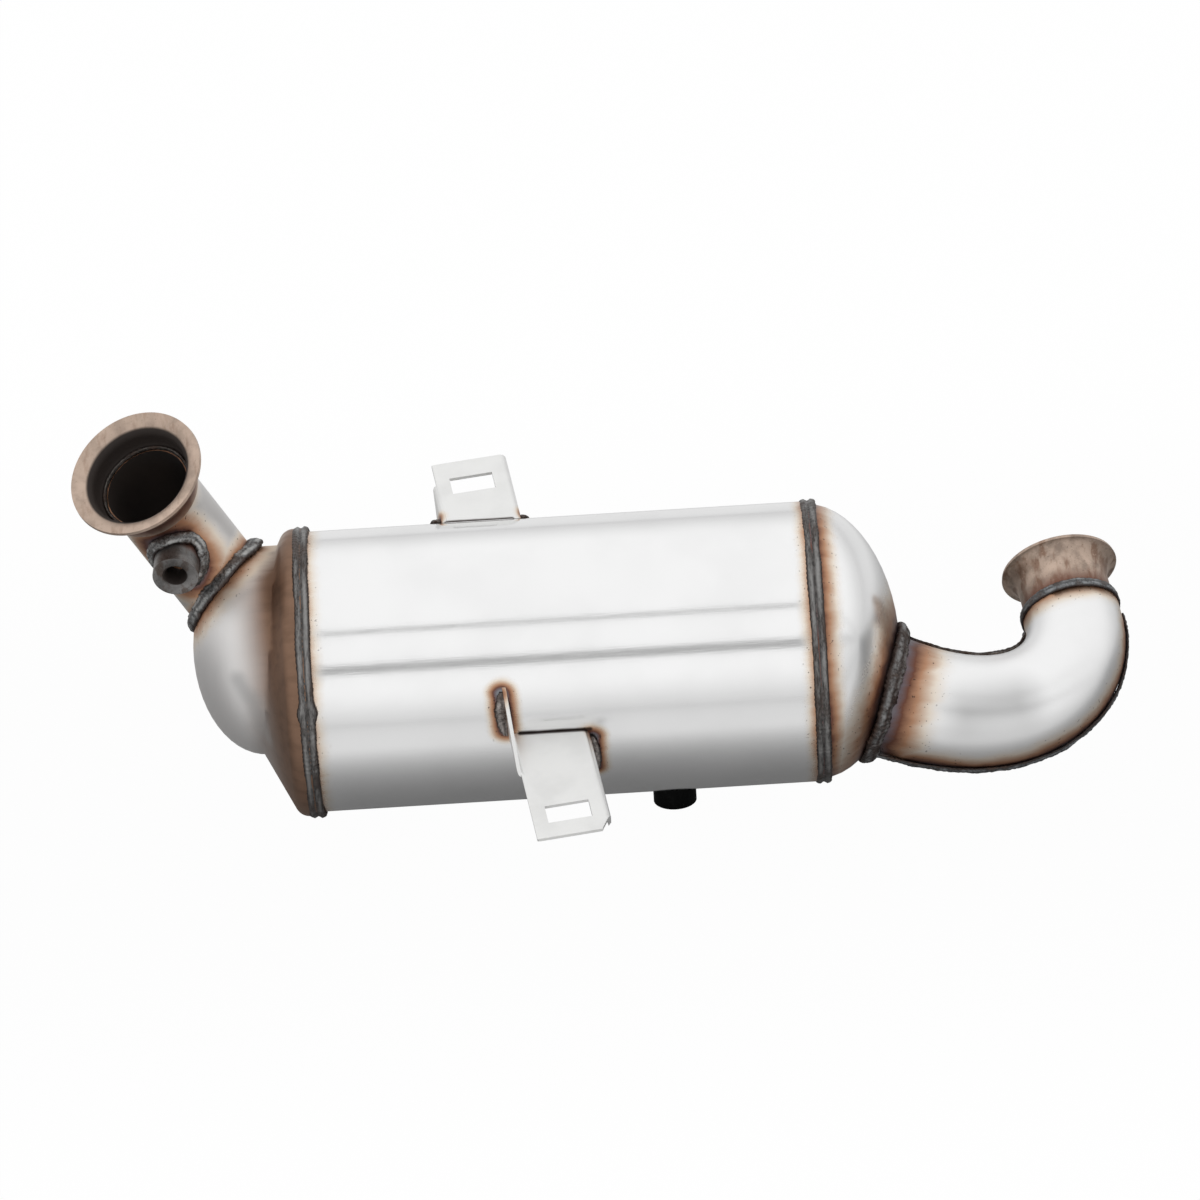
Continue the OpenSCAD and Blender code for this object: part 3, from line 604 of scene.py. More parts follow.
class Heat:
    """A weld that tints the sheet beside it: how far, in mm, and where its colours start."""

    def __init__(self, weld, reach, start=0.0, line=None):
        self.weld = weld
        self.reach = reach * MM
        self.start = start
        self.line = line

    def share(self, graph, place):
        """0 on the weld and 1 where the tint has gone."""
        if self.line is not None:
            distance = graph.line_distance(place, LINES[self.weld][self.line])
        elif self.weld in SEAMS:
            distance = graph.chain_distance(place, SEAMS[self.weld][::3])
        else:
            distance = graph.ring_distance(place, RINGS[self.weld])
        return distance / self.reach + self.start


def nearest_heat(graph, place, heats):
    """The share of the weld whose tint is strongest at a place."""
    return least_of([heat.share(graph, place) for heat in heats])


def heat_tint(graph, body, nearest):
    """The body with the colours of heat over it, and how clear of them it is."""
    tint = graph.value("ShaderNodeValToRGB", {"stops": TEMPER}, {"Fac": nearest})
    clear = graph.smooth(nearest, 0.5, 1.0)
    return graph.mix(clear, tint, body), clear


def painted_contact_shadow(graph, body, place, ends, unevenness):
    """Paints a thin contact shadow where two sheets meet."""
    distance = graph.line_distance(place, ends) + unevenness * 1.6 * MM
    strength = 0.95
    amount = strength - graph.smooth(distance, 0.7 * MM, 2.2 * MM) * strength
    return graph.mix(amount, body, CONTACT_SHADOW_BLACK)


def painted_shade_amount(graph, place, painted_shade, unevenness):
    """How strong the painted shade is at a place."""
    distance = graph.chain_distance(place, painted_shade.points) + unevenness * 8 * MM
    clear = graph.smooth(distance, painted_shade.near * MM, painted_shade.far * MM)
    return painted_shade.strength - clear * painted_shade.strength


def facing_duct(graph):
    """1 on the walls that face a duct's middle line, where soot lies."""
    return graph.smooth(graph.attribute("inside"), 0.55, 0.70)


def tempered_steel(
    name, colour, roughness, heats, soot=False, along=(0.05, 1, 1), bronze=None, edges=(), painted_shade=None
):
    """Bright rolled sheet, tinted beside its welds.

    Soot lies where gas runs. A bronze band has its colour, ring and reach in mm. Painted contact
    shadows follow lines, and a painted shade follows a chain.
    """
    made, graph, shader = principled(name)
    place = graph.place()
    grain = graph.noise(place, 0.7 * MM, along, 3)
    cloud = graph.noise(place, 42 * MM, detail=3)
    streak = graph.noise(place, 6 * MM, (0.3, 1, 1), 3)
    body = graph.mix(graph.smooth(cloud, 0.35, 0.75) * 0.22, colour, shaded(colour, 0.82))
    rough = roughness + (grain - 0.5) * 0.08 + (cloud - 0.5) * 0.06
    metal = 1.0
    if bronze is not None:
        shade, ring, (near, far) = bronze
        out = graph.vector("SUBTRACT", place, ring.centre)
        # The band is wider on the upper side
        aside = abs(graph.dot(out, ring.axis)) - graph.dot(out, (0, 0, 1)).most(0) * 0.09
        band = 1 - graph.smooth(aside + cloud * 6 * MM, near * MM, far * MM)
        worn = graph.mix(graph.smooth(streak, 0.4, 0.75) * 0.4, shade, shaded(shade, 0.55))
        body = graph.mix(band, body, worn)
    # Painted shade along a chain: greys the sheet there and takes from its metal
    if painted_shade is not None:
        amount = painted_shade_amount(graph, place, painted_shade, cloud - 0.5)
        body = graph.mix(amount, body, PAINTED_SHADE_GREY)
        metal = 1 - amount * painted_shade.matt
    nearest = nearest_heat(graph, place, heats) + (streak - 0.5) * 0.22 + (cloud - 0.5) * 0.3
    body, clear = heat_tint(graph, body, nearest)
    spatter = graph.smooth(graph.noise(place, 1.7 * MM, detail=1), 0.70, 0.74)
    body = graph.mix(spatter * (1 - clear) * 0.8, body, SPATTER)
    rough = rough + (1 - clear) * 0.14
    # Painted contact shadows along the given lines
    for ends in edges:
        body = painted_contact_shadow(graph, body, place, ends, streak - 0.5)
    if soot:
        black = facing_duct(graph)
        deposit = graph.mix(graph.smooth(cloud, 0.3, 0.7), SOOT, BROWN_SOOT)
        body = graph.mix(black, body, deposit)
        rough = rough + black * 0.35
        metal = 1 - black
    bump = graph.bump(grain + cloud * 1.5, 0.05, 0.3)
    feed(graph, shader, colour=body, roughness=rough, metallic=metal, normal=bump)
    return made


def oxidised_steel(name, colour, heats, worn=1.0):
    """Oxide with pale patches, darker streaks that run from the neck to the rim, dark specks, and
    bright specks that are painted glints.
    """
    made, graph, shader = principled(name)
    place = graph.place()
    patch = graph.noise(place, 9 * MM, detail=4, roughness=0.6)
    streak = graph.noise(place, 4.5 * MM, (1, 0.22, 0.6), 4)
    speck = graph.noise(place, 1.1 * MM, detail=2)
    pale = graph.noise(place, 24 * MM, detail=2)
    light = shaded(colour, 1.38)
    streaked = toned(colour, (0.40, 0.27, 0.20))
    pitted = toned(colour, (0.15, 0.12, 0.11))
    body = graph.mix(graph.smooth(pale, 0.45, 0.65) * 0.5, colour, light)
    body = graph.mix(graph.smooth(patch, 0.42, 0.72) * 0.8 * worn, body, shaded(colour, 0.5))
    body = graph.mix(graph.smooth(streak, 0.5, 0.68) * 0.7 * worn, body, streaked)
    # Painted glints: bright specks
    body = graph.mix(graph.smooth(speck, 0.62, 0.72) * 0.4 * worn, body, light)
    body = graph.mix(graph.smooth(1 - speck, 0.64, 0.72) * 0.5 * worn, body, pitted)
    nearest = nearest_heat(graph, place, heats) + (patch - 0.5) * 0.5
    body = graph.mix(graph.smooth(nearest, 0.2, 1.0), TINT_BROWN, body)
    black = facing_duct(graph)
    body = graph.mix(black, body, FLANGE_SOOT)
    rough = 0.44 + (patch - 0.5) * 0.2 + black * 0.3
    bump = graph.bump(patch + speck * 0.4, 0.25, 0.3)
    feed(graph, shader, colour=body, roughness=rough, metallic=0.85 - black * 0.85, normal=bump)
    return made


def weld_scale(name, scale, along=(1, 1, 1)):
    """Grey scale, with painted shade at the toes, left dark down the groove, and painted highlights
    on the ridges.
    """
    made, graph, shader = principled(name)
    place = graph.place()
    colour, ridge_highlight = scale
    fine = graph.noise(place, 1.3 * MM, along, 4, 0.7)
    broad = graph.noise(place, 8 * MM, along, 3)
    aside = abs(graph.attribute("across"))
    ridge_highlight_mask = graph.smooth(aside, 0.05, 0.4) * (1 - graph.smooth(aside, 0.55, 0.9))
    body = graph.mix(graph.smooth(fine, 0.35, 0.65), shaded(colour, 0.4), colour)
    # Painted highlights on the ridges, in patches
    body = graph.mix(ridge_highlight_mask * graph.smooth(broad + fine * 0.5, 0.6, 0.95), body, ridge_highlight)
    # Painted shade at the toes
    body = graph.mix(graph.smooth(aside, 0.72, 0.95) * 0.8, body, SCALE_TOE_SHADE)
    body = graph.mix(graph.smooth(1 - broad, 0.5, 0.7) * 0.5, body, SCALE_BROWN)
    bump = graph.bump(fine, 0.6, 0.6)
    feed(graph, shader, colour=body, roughness=0.3 + fine * 0.3, metallic=0.85, normal=bump)
    return made


def bracket_steel(name, colour, bracket):
    """Pale matt sheet, browned beside its welds."""
    made, graph, shader = principled(name)
    place = graph.place()
    grain = graph.noise(place, 0.8 * MM, (0.1, 1, 1), 3)
    cloud = graph.noise(place, 18 * MM, detail=3)
    body = graph.mix(graph.smooth(cloud, 0.4, 0.75) * 0.3, colour, shaded(colour, 0.8))
    heats = [Heat(bracket + "_welds", 8, 0.0, line) for line in (0, 1)]
    nearest = nearest_heat(graph, place, heats) + (cloud - 0.5) * 0.5
    body, _ = heat_tint(graph, body, nearest)
    # Painted contact shadow where the plate meets the canister
    body = painted_contact_shadow(graph, body, place, EDGES[bracket], cloud - 0.5)
    rough = 0.40 + (cloud - 0.5) * 0.15
    bump = graph.bump(grain, 0.12, 0.3)
    feed(graph, shader, colour=body, roughness=rough, metallic=0.8, normal=bump)
    return made


def matt_rubber(name, colour):
    """Black rubber with a little dust."""
    made, graph, shader = principled(name)
    dust = graph.noise(graph.place(), 6 * MM, detail=4)
    body = graph.mix(graph.smooth(dust, 0.5, 0.8) * 0.3, colour, CAP_DUST)
    bump = graph.bump(dust, 0.2, 0.2)
    feed(graph, shader, colour=body, roughness=0.5 + dust * 0.2, metallic=0.0, normal=bump)
    shader.inputs["Specular IOR Level"].default_value = 0.05
    return made


def plain_ceramic(name, colour):
    """Porous ceramic or fibre."""
    made, graph, shader = principled(name)
    pore = graph.noise(graph.place(), 1.2 * MM, detail=4)
    body = graph.mix(graph.smooth(pore, 0.4, 0.7), colour, shaded(colour, 0.7))
    feed(graph, shader, colour=body, roughness=0.85 + (pore - 0.5) * 0.1, metallic=0.0)
    return made


# Pieces

# Angles, in degrees, over which a fold stays sharp
SHEET_FOLD = 32
CAP_FOLD = 25
ELBOW_FOLD = 40
# How near the CAD node's loose corners are merged
MERGE = 0.002 * MM


def near_line(point, line):
    """The point of a chain of points that lies nearest."""
    best = None
    for first, last in zip(line, line[1:]):
        run = last - first
        share = min(max((point - first).dot(run) / run.length_squared, 0), 1)
        found = first + run * share
        if best is None or (found - point).length < (best - point).length:
            best = found
    return best


def mark_inside(mesh, line):
    """Stores how squarely each corner faces a duct's middle line: 1 inside a straight duct."""
    facing = []
    for face in mesh.polygons:
        for corner in face.loop_indices:
            point = mesh.vertices[mesh.loops[corner].vertex_index].co
            inward = (near_line(point, line) - point).normalized()
            facing.append(max(0.0, inward.dot(mesh.corner_normals[corner].vector)))
    layer = mesh.attributes.new("inside", "FLOAT", "CORNER")
    layer.data.foreach_set("value", facing)


def finish_piece(piece, node, material):
    """Gives a piece its material and puts it in place of its CAD node."""
    piece.data.materials.clear()
    piece.data.materials.append(material)
    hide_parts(node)
    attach(piece, "root")
    return piece


def settle(piece):
    """Turns a piece with modifiers into a plain mesh."""
    graph = bpy.context.evaluated_depsgraph_get()
    mesh = bpy.data.meshes.new_from_object(piece.evaluated_get(graph))
    piece.modifiers.clear()
    piece.data = mesh


def smooth_copy(node, angle):
    """A merged copy of a CAD node with smooth faces and sharp folds."""
    shape = bmesh.new()
    shape.from_mesh(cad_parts[node].data)
    bmesh.ops.remove_doubles(shape, verts=shape.verts, dist=MERGE)
    mesh = bpy.data.meshes.new(node + "_sheet")
    shape.to_mesh(mesh)
    shape.free()
    mesh.shade_smooth()
    mesh.set_sharp_from_angle(angle=math.radians(angle))
    piece = bpy.data.objects.new(node + "_sheet", mesh)
    bpy.context.scene.collection.objects.link(piece)
    return piece


def flatten(piece):
    """Keeps wide flat faces flat where they run into a fold."""
    modifier = piece.modifiers.new("flat", "WEIGHTED_NORMAL")
    modifier.keep_sharp = True
    modifier.weight = 100
    settle(piece)


def turn_true(piece):
    """Points the normals of the canister's round walls straight away from its axis."""
    mesh = piece.data
    normals = []
    for face in mesh.polygons:
        for corner in face.vertices:
            point = mesh.vertices[corner].co
            out = Vector((0, point.y - CAN_MIDDLE.y, point.z - CAN_MIDDLE.z)).normalized()
            facing = out.dot(face.normal)
            round_wall = abs(facing) > 0.9
            normals.append(out * math.copysign(1, facing) if round_wall else face.normal.copy())
    mesh.normals_split_custom_set(normals)


def sheet_piece(node, material, angle=SHEET_FOLD, folded=False, turned=False):
    """Puts a dressed copy in place of a CAD node."""
    piece = smooth_copy(node, angle)
    if folded:
        flatten(piece)
    if turned:
        turn_true(piece)
    if node in DUCTS:
        mark_inside(piece.data, DUCTS[node])
    return finish_piece(piece, node, material)


class FILTER_OT_canister(bpy.types.Operator):
    """Canister shell and both end caps"""

    bl_idname = "particulate_filter.canister"
    bl_label = "Canister"

    def execute(self, context):
        look = settings()
        steel, rough = tuple(look.steel_colour), look.steel_roughness
        heats = [
            Heat("inlet_girth_weld", 14, 0.16),
            Heat("outlet_girth_weld", 19, 0.3),
            Heat("front_bracket_welds", 10, -0.2, 0),
            Heat("front_bracket_welds", 10, -0.2, 1),
            Heat("rear_bracket_welds", 9, -0.1, 0),
            Heat("rear_bracket_welds", 9, -0.1, 1),
        ]
        # The plate edges carry painted contact shadows on the canister
        sheet = tempered_steel("canister_sheet", steel, rough, heats, edges=EDGES.values())
        sheet_piece("canister_shell", sheet, turned=True)
        heats = [Heat("inlet_girth_weld", 18), Heat("elbow_port_weld", 42, 0.03)]
        sheet = tempered_steel("inlet_cap_sheet", steel, rough + 0.06, heats)
        sheet_piece("inlet_cone", sheet, CAP_FOLD)
        sheet = tempered_steel(
            "outlet_cap_sheet",
            OUTLET_CAP_STEEL,
            rough + 0.36,
            [Heat("outlet_pipe_weld", 34, 0.24)],
            along=(1, 0.06, 0.06),
            bronze=(COLLAR_BRONZE, RINGS["outlet_girth_weld"], (15, 40)),
            # A painted crease shadow down the hump's lower side
            painted_shade=HUMP_CREASE_PAINTED_SHADOW,
        )
        sheet_piece("outlet_cone", sheet, CAP_FOLD)
        return {"FINISHED"}


class FILTER_OT_ducts(bpy.types.Operator):
    """Inlet elbow, outlet pipe, both flanges and the sensor boss"""

    bl_idname = "particulate_filter.ducts"
    bl_label = "Ducts"

    def execute(self, context):
        look = settings()
        steel, rough = tuple(look.steel_colour), look.steel_roughness
        heats = [
            Heat("elbow_port_weld", 33, -0.06),
            Heat("elbow_outer_seam_weld", 23, 0.07),
            Heat("elbow_inner_seam_weld", 9, 0.2),
            Heat("inlet_flange_weld", 22, 0.26),
        ]
        # The elbow carries a painted dark reflection on the front of its bend
        elbow = tempered_steel("elbow_sheet", steel, rough + 0.2, heats, soot=True, painted_shade=BEND_PAINTED_REFLECTION)
        for node in ("elbow_upper_half", "elbow_lower_half"):
            sheet_piece(node, elbow, ELBOW_FOLD)
        heats = [
            Heat("outlet_pipe_weld", 15, 0.15),
            Heat("sensor_boss_weld", 26, 0.08),
            Heat("outlet_flange_weld", 26, 0.28),
        ]
        pipe = tempered_steel("outlet_pipe_sheet", PIPE_STEEL, rough + 0.16, heats, soot=True)
        sheet_piece("outlet_pipe", pipe)
        oxide = tuple(look.oxide_colour)
        heats = [Heat("inlet_flange_weld", 16, 0.1)]
        sheet_piece("inlet_flange", oxidised_steel("inlet_flange_oxide", oxide, heats))
        heats = [Heat("outlet_flange_weld", 10)]
        sheet_piece("outlet_flange", oxidised_steel("outlet_flange_oxide", oxide, heats, 0.5))
        heats = [Heat("sensor_boss_weld", 8, 0.1)]
        sheet_piece("sensor_boss", oxidised_steel("boss_oxide", BOSS_OXIDE, heats))
        return {"FINISHED"}


class FILTER_OT_brackets(bpy.types.Operator):
    """Both folded brackets"""

    bl_idname = "particulate_filter.brackets"
    bl_label = "Brackets"

    def execute(self, context):
        colour = tuple(settings().bracket_colour)
        for node in EDGES:
            sheet_piece(node, bracket_steel(node + "_sheet", colour, node), folded=True)
        return {"FINISHED"}


class FILTER_OT_tap(bpy.types.Operator):
    """Pressure tap and its push-on cap"""

    bl_idname = "particulate_filter.tap"
    bl_label = "Pressure Tap"

    def execute(self, context):
        sheet_piece("tap_cap", matt_rubber("cap_rubber", tuple(settings().cap_colour)))
        heats = [Heat("tap_boss_weld", 6, 0.1)]
        sheet_piece("tap_boss", tempered_steel("tap_steel", TAP_STEEL, 0.4, heats))
        return {"FINISHED"}


class FILTER_OT_bricks(bpy.types.Operator):
    """Catalyst, filter and the mats that hold them"""

    bl_idname = "particulate_filter.bricks"
    bl_label = "Bricks"

    def execute(self, context):
        finishes = {
            "catalyst_brick": plain_ceramic("catalyst_ceramic", CATALYST_TAN),
            "filter_brick": plain_ceramic("filter_ceramic", FILTER_GREY),
            "catalyst_mat": plain_ceramic("catalyst_fibre", MAT_FIBRE),
            "filter_mat": plain_ceramic("filter_fibre", MAT_FIBRE),
        }
        for node, material in finishes.items():
            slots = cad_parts[node].data.materials
            slots.clear()
            slots.append(material)
        return {"FINISHED"}


# Weld beads

# Points along a ripple and round a bead
RIPPLE_STEPS = 6
BEAD_SIDES = 28

# How far a seam bead runs on past its CAD bead at each end
SEAM_RUN_ON = 12 * MM
# Where a bracket's bead starts and ends, as shares of its line, and how far its middle stands out
BRACKET_RUN = (-0.15, 1.05)
BRACKET_LIFT = 1.2 * MM

BEAD_INPUTS = (
    ("Path", "NodeSocketGeometry"),
    ("Half Width", "NodeSocketFloat"),
    ("Half Height", "NodeSocketFloat"),
    ("Pitch", "NodeSocketFloat"),
    ("Ripple", "NodeSocketFloat"),
    ("Lump", "NodeSocketFloat"),
    ("Lump Size", "NodeSocketFloat"),
    ("Groove", "NodeSocketFloat"),
    ("Wander", "NodeSocketFloat"),
    ("Seed", "NodeSocketFloat"),
    ("Material", "NodeSocketMaterial"),
)


def bead_path(graph, take):
    """The path at an even spacing, wandering a little, with its length stored as run."""
    curve = graph.value("GeometryNodeMeshToCurve", None, {"Mesh": take["Path"]})
    step = take["Pitch"] / RIPPLE_STEPS
    curve = graph.value(
        "GeometryNodeResampleCurve", {"mode": "LENGTH"}, {"Curve": curve, "Length": step}
    )
    curve = graph.value(
        "GeometryNodeSetCurveNormal",
        {"mode": "FREE"},
        {"Curve": curve, "Normal": graph.stored("out", "FLOAT_VECTOR")},
    )
    drift = graph.value(
        "ShaderNodeTexNoise",
        {"noise_dimensions": "4D"},
        {"Scale": 0.5 / take["Lump Size"], "Detail": 1.0, "W": take["Seed"] + 5},
        "Color",
    )
    drift = graph.scaled(graph.vector("SUBTRACT", drift, (0.5, 0.5, 0.5)), take["Wander"] * 2)
    curve = graph.value("GeometryNodeSetPosition", None, {"Geometry": curve, "Offset": drift})
    return graph.store(curve, "run", graph.value("GeometryNodeSplineParameter", output="Length"))


def bead_section(graph, take):
    """The bead's oval, with each point's place across it stored from -1 to 1."""
    ring = graph.value(
        "GeometryNodeCurvePrimitiveCircle",
        {"mode": "RADIUS"},
        {"Resolution": BEAD_SIDES, "Radius": 1.0},
    )
    place = graph.value("GeometryNodeInputPosition")
    ring = graph.store(ring, "across", graph.value("ShaderNodeSeparateXYZ", None, {0: place}, "Y"))
    size = graph.value(
        "ShaderNodeCombineXYZ", None, {"X": take["Half Height"], "Y": take["Half Width"], "Z": 1.0}
    )
    return graph.value("GeometryNodeTransform", None, {"Geometry": ring, "Scale": size})


def bead_relief(graph, take):
    """How far each point of the bead is pushed out: crescent ripples, lumps and a groove."""
    run, across = graph.stored("run"), graph.stored("across")
    noise = graph.value(
        "ShaderNodeTexNoise",
        {"noise_dimensions": "4D"},
        {"Scale": 1 / take["Lump Size"], "Detail": 3.0, "W": take["Seed"]},
    )
    crescent = run / take["Pitch"] + across * across * 0.8 + noise * 3
    ripple = (crescent * math.tau).sine() * take["Ripple"] * graph.smooth(noise, 0.35, 0.6)
    lump = (noise - 0.5) * take["Lump"] * 2
    hollow = (1 - graph.smooth(abs(across), 0.05, 0.5)) * take["Groove"]
    return (ripple + lump - hollow) * take["Half Height"]


def bead_tree():
    """Sweeps a bead along a path whose points carry the direction out of the sheet."""
    tree = bpy.data.node_groups.new("weld_bead", "GeometryNodeTree")
    for name, kind in BEAD_INPUTS:
        tree.interface.new_socket(name, in_out="INPUT", socket_type=kind)
    tree.interface.new_socket("Bead", in_out="OUTPUT", socket_type="NodeSocketGeometry")
    graph = Graph(tree)
    given = graph.node("NodeGroupInput").outputs
    take = {name: Value(graph, given[name]) for name, kind in BEAD_INPUTS}
    bead = graph.value(
        "GeometryNodeCurveToMesh",
        None,
        {
            "Curve": bead_path(graph, take),
            "Profile Curve": bead_section(graph, take),
            "Scale": graph.stored("girth"),
            "Fill Caps": True,
        },
    )
    push = graph.scaled(graph.value("GeometryNodeInputNormal"), bead_relief(graph, take))
    bead = graph.value("GeometryNodeSetPosition", None, {"Geometry": bead, "Offset": push})
    bead = graph.value("GeometryNodeSetShadeSmooth", None, {"Geometry": bead})
    bead = graph.value("GeometryNodeRealizeInstances", None, {"Geometry": bead})
    bead = graph.value(
        "GeometryNodeSetMaterial", None, {"Geometry": bead, "Material": take["Material"]}
    )
    graph.node("NodeGroupOutput", None, {"Bead": bead})
    return tree


def path_mesh(name, loops):
    """A mesh of edges along lists of points, each with its direction out of the sheet and girth."""
    points, edges, outs, girths = [], [], [], []
    for loop, loop_outs, loop_girths, closed in loops:
        base = len(points)
        count = len(loop)
        points.extend(loop)
        outs.extend(loop_outs)
        girths.extend(loop_girths)
        last = count if closed else count - 1
        edges.extend((base + i, base + (i + 1) % count) for i in range(last))
    mesh = bpy.data.meshes.new(name)
    mesh.from_pydata([tuple(point) for point in points], edges, [])
    layer = mesh.attributes.new("out", "FLOAT_VECTOR", "POINT")
    layer.data.foreach_set("vector", np.array(outs, np.float32).ravel())
    layer = mesh.attributes.new("girth", "FLOAT", "POINT")
    layer.data.foreach_set("value", np.array(girths, np.float32))
    return mesh


def swells(points, lumps):
    """The girth at each point: 1, and more near a lump of given place, reach and size."""
    girths = []
    for point in points:
        girth = 1.0
        for place, reach, size in lumps:
            girth += size * math.exp(-(((point - place).length / reach) ** 2))
        girths.append(girth)
    return girths


def tapered(points, tail):
    """The girth along an open bead: full in the middle and a given share at its ends."""
    last = len(points) - 1
    return [tail + (1 - tail) * math.sin(math.pi * i / last) ** 0.6 for i in range(last + 1)]


def ring_loop(ring, out_angle, radius, lumps=(), count=180):
    """Points round a ring, with the bead facing between outward, 0, and along the axis, 90."""
    first, second = ring.sides()
    angle = math.radians(out_angle)
    points, outs = [], []
    for i in range(count):
        turn = math.tau * i / count
        radial = first * math.cos(turn) + second * math.sin(turn)
        points.append(ring.centre + radial * radius)
        outs.append(radial * math.cos(angle) + ring.axis * math.sin(angle))
    return points, outs, swells(points, lumps), True


def section_loop(node, ring, out_angle, lumps=(), bins=48):
    """Middles of a ring bead's sections, in order round it."""
    points = node_points(node) - np.array(ring.centre)
    first, second = (np.array(side) for side in ring.sides())
    turns = np.arctan2(points @ second, points @ first)
    keys = np.round(turns / math.tau * bins - 0.25).astype(int) % bins
    found, outs = [], []
    angle = math.radians(out_angle)
    for key in range(bins):
        group = points[keys == key]
        if not len(group):
            continue
        centre = (group.min(0) + group.max(0)) / 2
        radial = Vector(centre) - ring.axis * ring.axis.dot(Vector(centre))
        found.append(ring.centre + Vector(centre))
        outs.append(radial.normalized() * math.cos(angle) + ring.axis * math.sin(angle))
    return found, outs, swells(found, lumps), True


def seam_loop(node, inward):
    """A seam bead's middles from port to mouth, run on into the beads at both ends."""
    ring = RINGS[node]
    found = list(SEAMS[node])
    run_on = round(SEAM_RUN_ON / (found[1] - found[0]).length)
    for _ in range(run_on):
        found.insert(0, found[0] * 3 - found[1] * 3 + found[2])
        found.append(found[-1] * 3 - found[-2] * 3 + found[-3])
    outs = []
    for point in found:
        out = point - ring.centre
        radial = (out - ring.axis * ring.axis.dot(out)).normalized()
        outs.append(-radial if inward else radial)
    return found, outs, tapered(found, 0.8), False


def bracket_loops(node, steps=10):
    """Points up each of a bracket's two beads, round the canister."""
    start, end = BRACKET_RUN
    loops = []
    for low, high in LINES[node]:
        points, outs = [], []
        for i in range(steps + 1):
            point = low.lerp(high, start + (end - start) * i / steps)
            radial = Vector((0, point.y - CAN_MIDDLE.y, point.z - CAN_MIDDLE.z)).normalized()
            axis_point = Vector((point.x, CAN_MIDDLE.y, CAN_MIDDLE.z))
            points.append(axis_point + radial * (CAN_RADIUS + BRACKET_LIFT))
            outs.append(radial)
        loops.append((points, outs, tapered(points, 0.25), False))
    return loops


@dataclass
class Bead:
    """A bead's half width and half height, its wander and the size of its lumps, in mm.

    The groove along its middle is a share of its half height, and rough scales ripples and lumps.
    """

    half_width: float
    half_height: float
    groove: float = 0.0
    wander: float = 0.5
    lump_size: float = 7.0
    rough: float = 1.0


GIRTH_BEAD = Bead(4.2, 1.7, groove=0.8, lump_size=11, rough=0.6)
PORT_BEAD = Bead(5.2, 2.6, wander=0.9)
PIPE_BEAD = Bead(4.5, 2.2, wander=0.9)
BOSS_BEAD = Bead(3.5, 2.0, wander=0.9)
TAP_BEAD = Bead(2.0, 1.2, wander=0.9)
INLET_FLANGE_BEAD = Bead(3.0, 1.4, rough=0.6)
OUTLET_FLANGE_BEAD = Bead(1.2, 0.8, wander=0.1)
OUTER_SEAM_BEAD = Bead(2.9, 1.2)
INNER_SEAM_BEAD = Bead(2.3, 0.9)
BRACKET_BEAD = Bead(4.4, 1.8)

# Depth of a girth bead's middle under its crown
GIRTH_CROWN = 1.5 * MM


def ring_lump(weld, towards, reach, size):
    """A lump on a ring weld, on the side that a direction names, with its reach in mm."""
    ring = RINGS[weld]
    return ring.centre + Vector(towards) * ring.radius, reach * MM, size


LUMPS = {
    "inlet_girth_weld": (),
    "outlet_girth_weld": (ring_lump("outlet_girth_weld", (0, -0.878, 0.479), 4, 0.5),),
    "elbow_port_weld": (
        ring_lump("elbow_port_weld", (0, -0.75, -0.66), 14, 0.5),
        ring_lump("elbow_port_weld", (0, -0.35, 0.93), 11, 0.3),
    ),
}


def bead_piece(node, tree, loops, material, bead):
    """Sweeps a bead along its loops and puts it in place of its CAD node."""
    look = settings()
    source = bpy.data.objects.new(node + "_bead", path_mesh(node + "_path", loops))
    bpy.context.scene.collection.objects.link(source)
    modifier = source.modifiers.new("bead", "NODES")
    modifier.node_group = tree
    values = {
        "Half Width": bead.half_width * MM,
        "Half Height": bead.half_height * MM,
        "Pitch": look.ripple_pitch,
        "Ripple": look.ripple * bead.rough,
        "Lump": look.bead_lump * bead.rough,
        "Lump Size": bead.lump_size * MM,
        "Groove": bead.groove,
        "Wander": bead.wander * MM,
        "Seed": float(look.seed),
        "Material": material,
    }
    names = {item.name: item.identifier for item in tree.interface.items_tree}
    for name, value in values.items():
        modifier[names[name]] = value
    settle(source)
    return finish_piece(source, node, material)


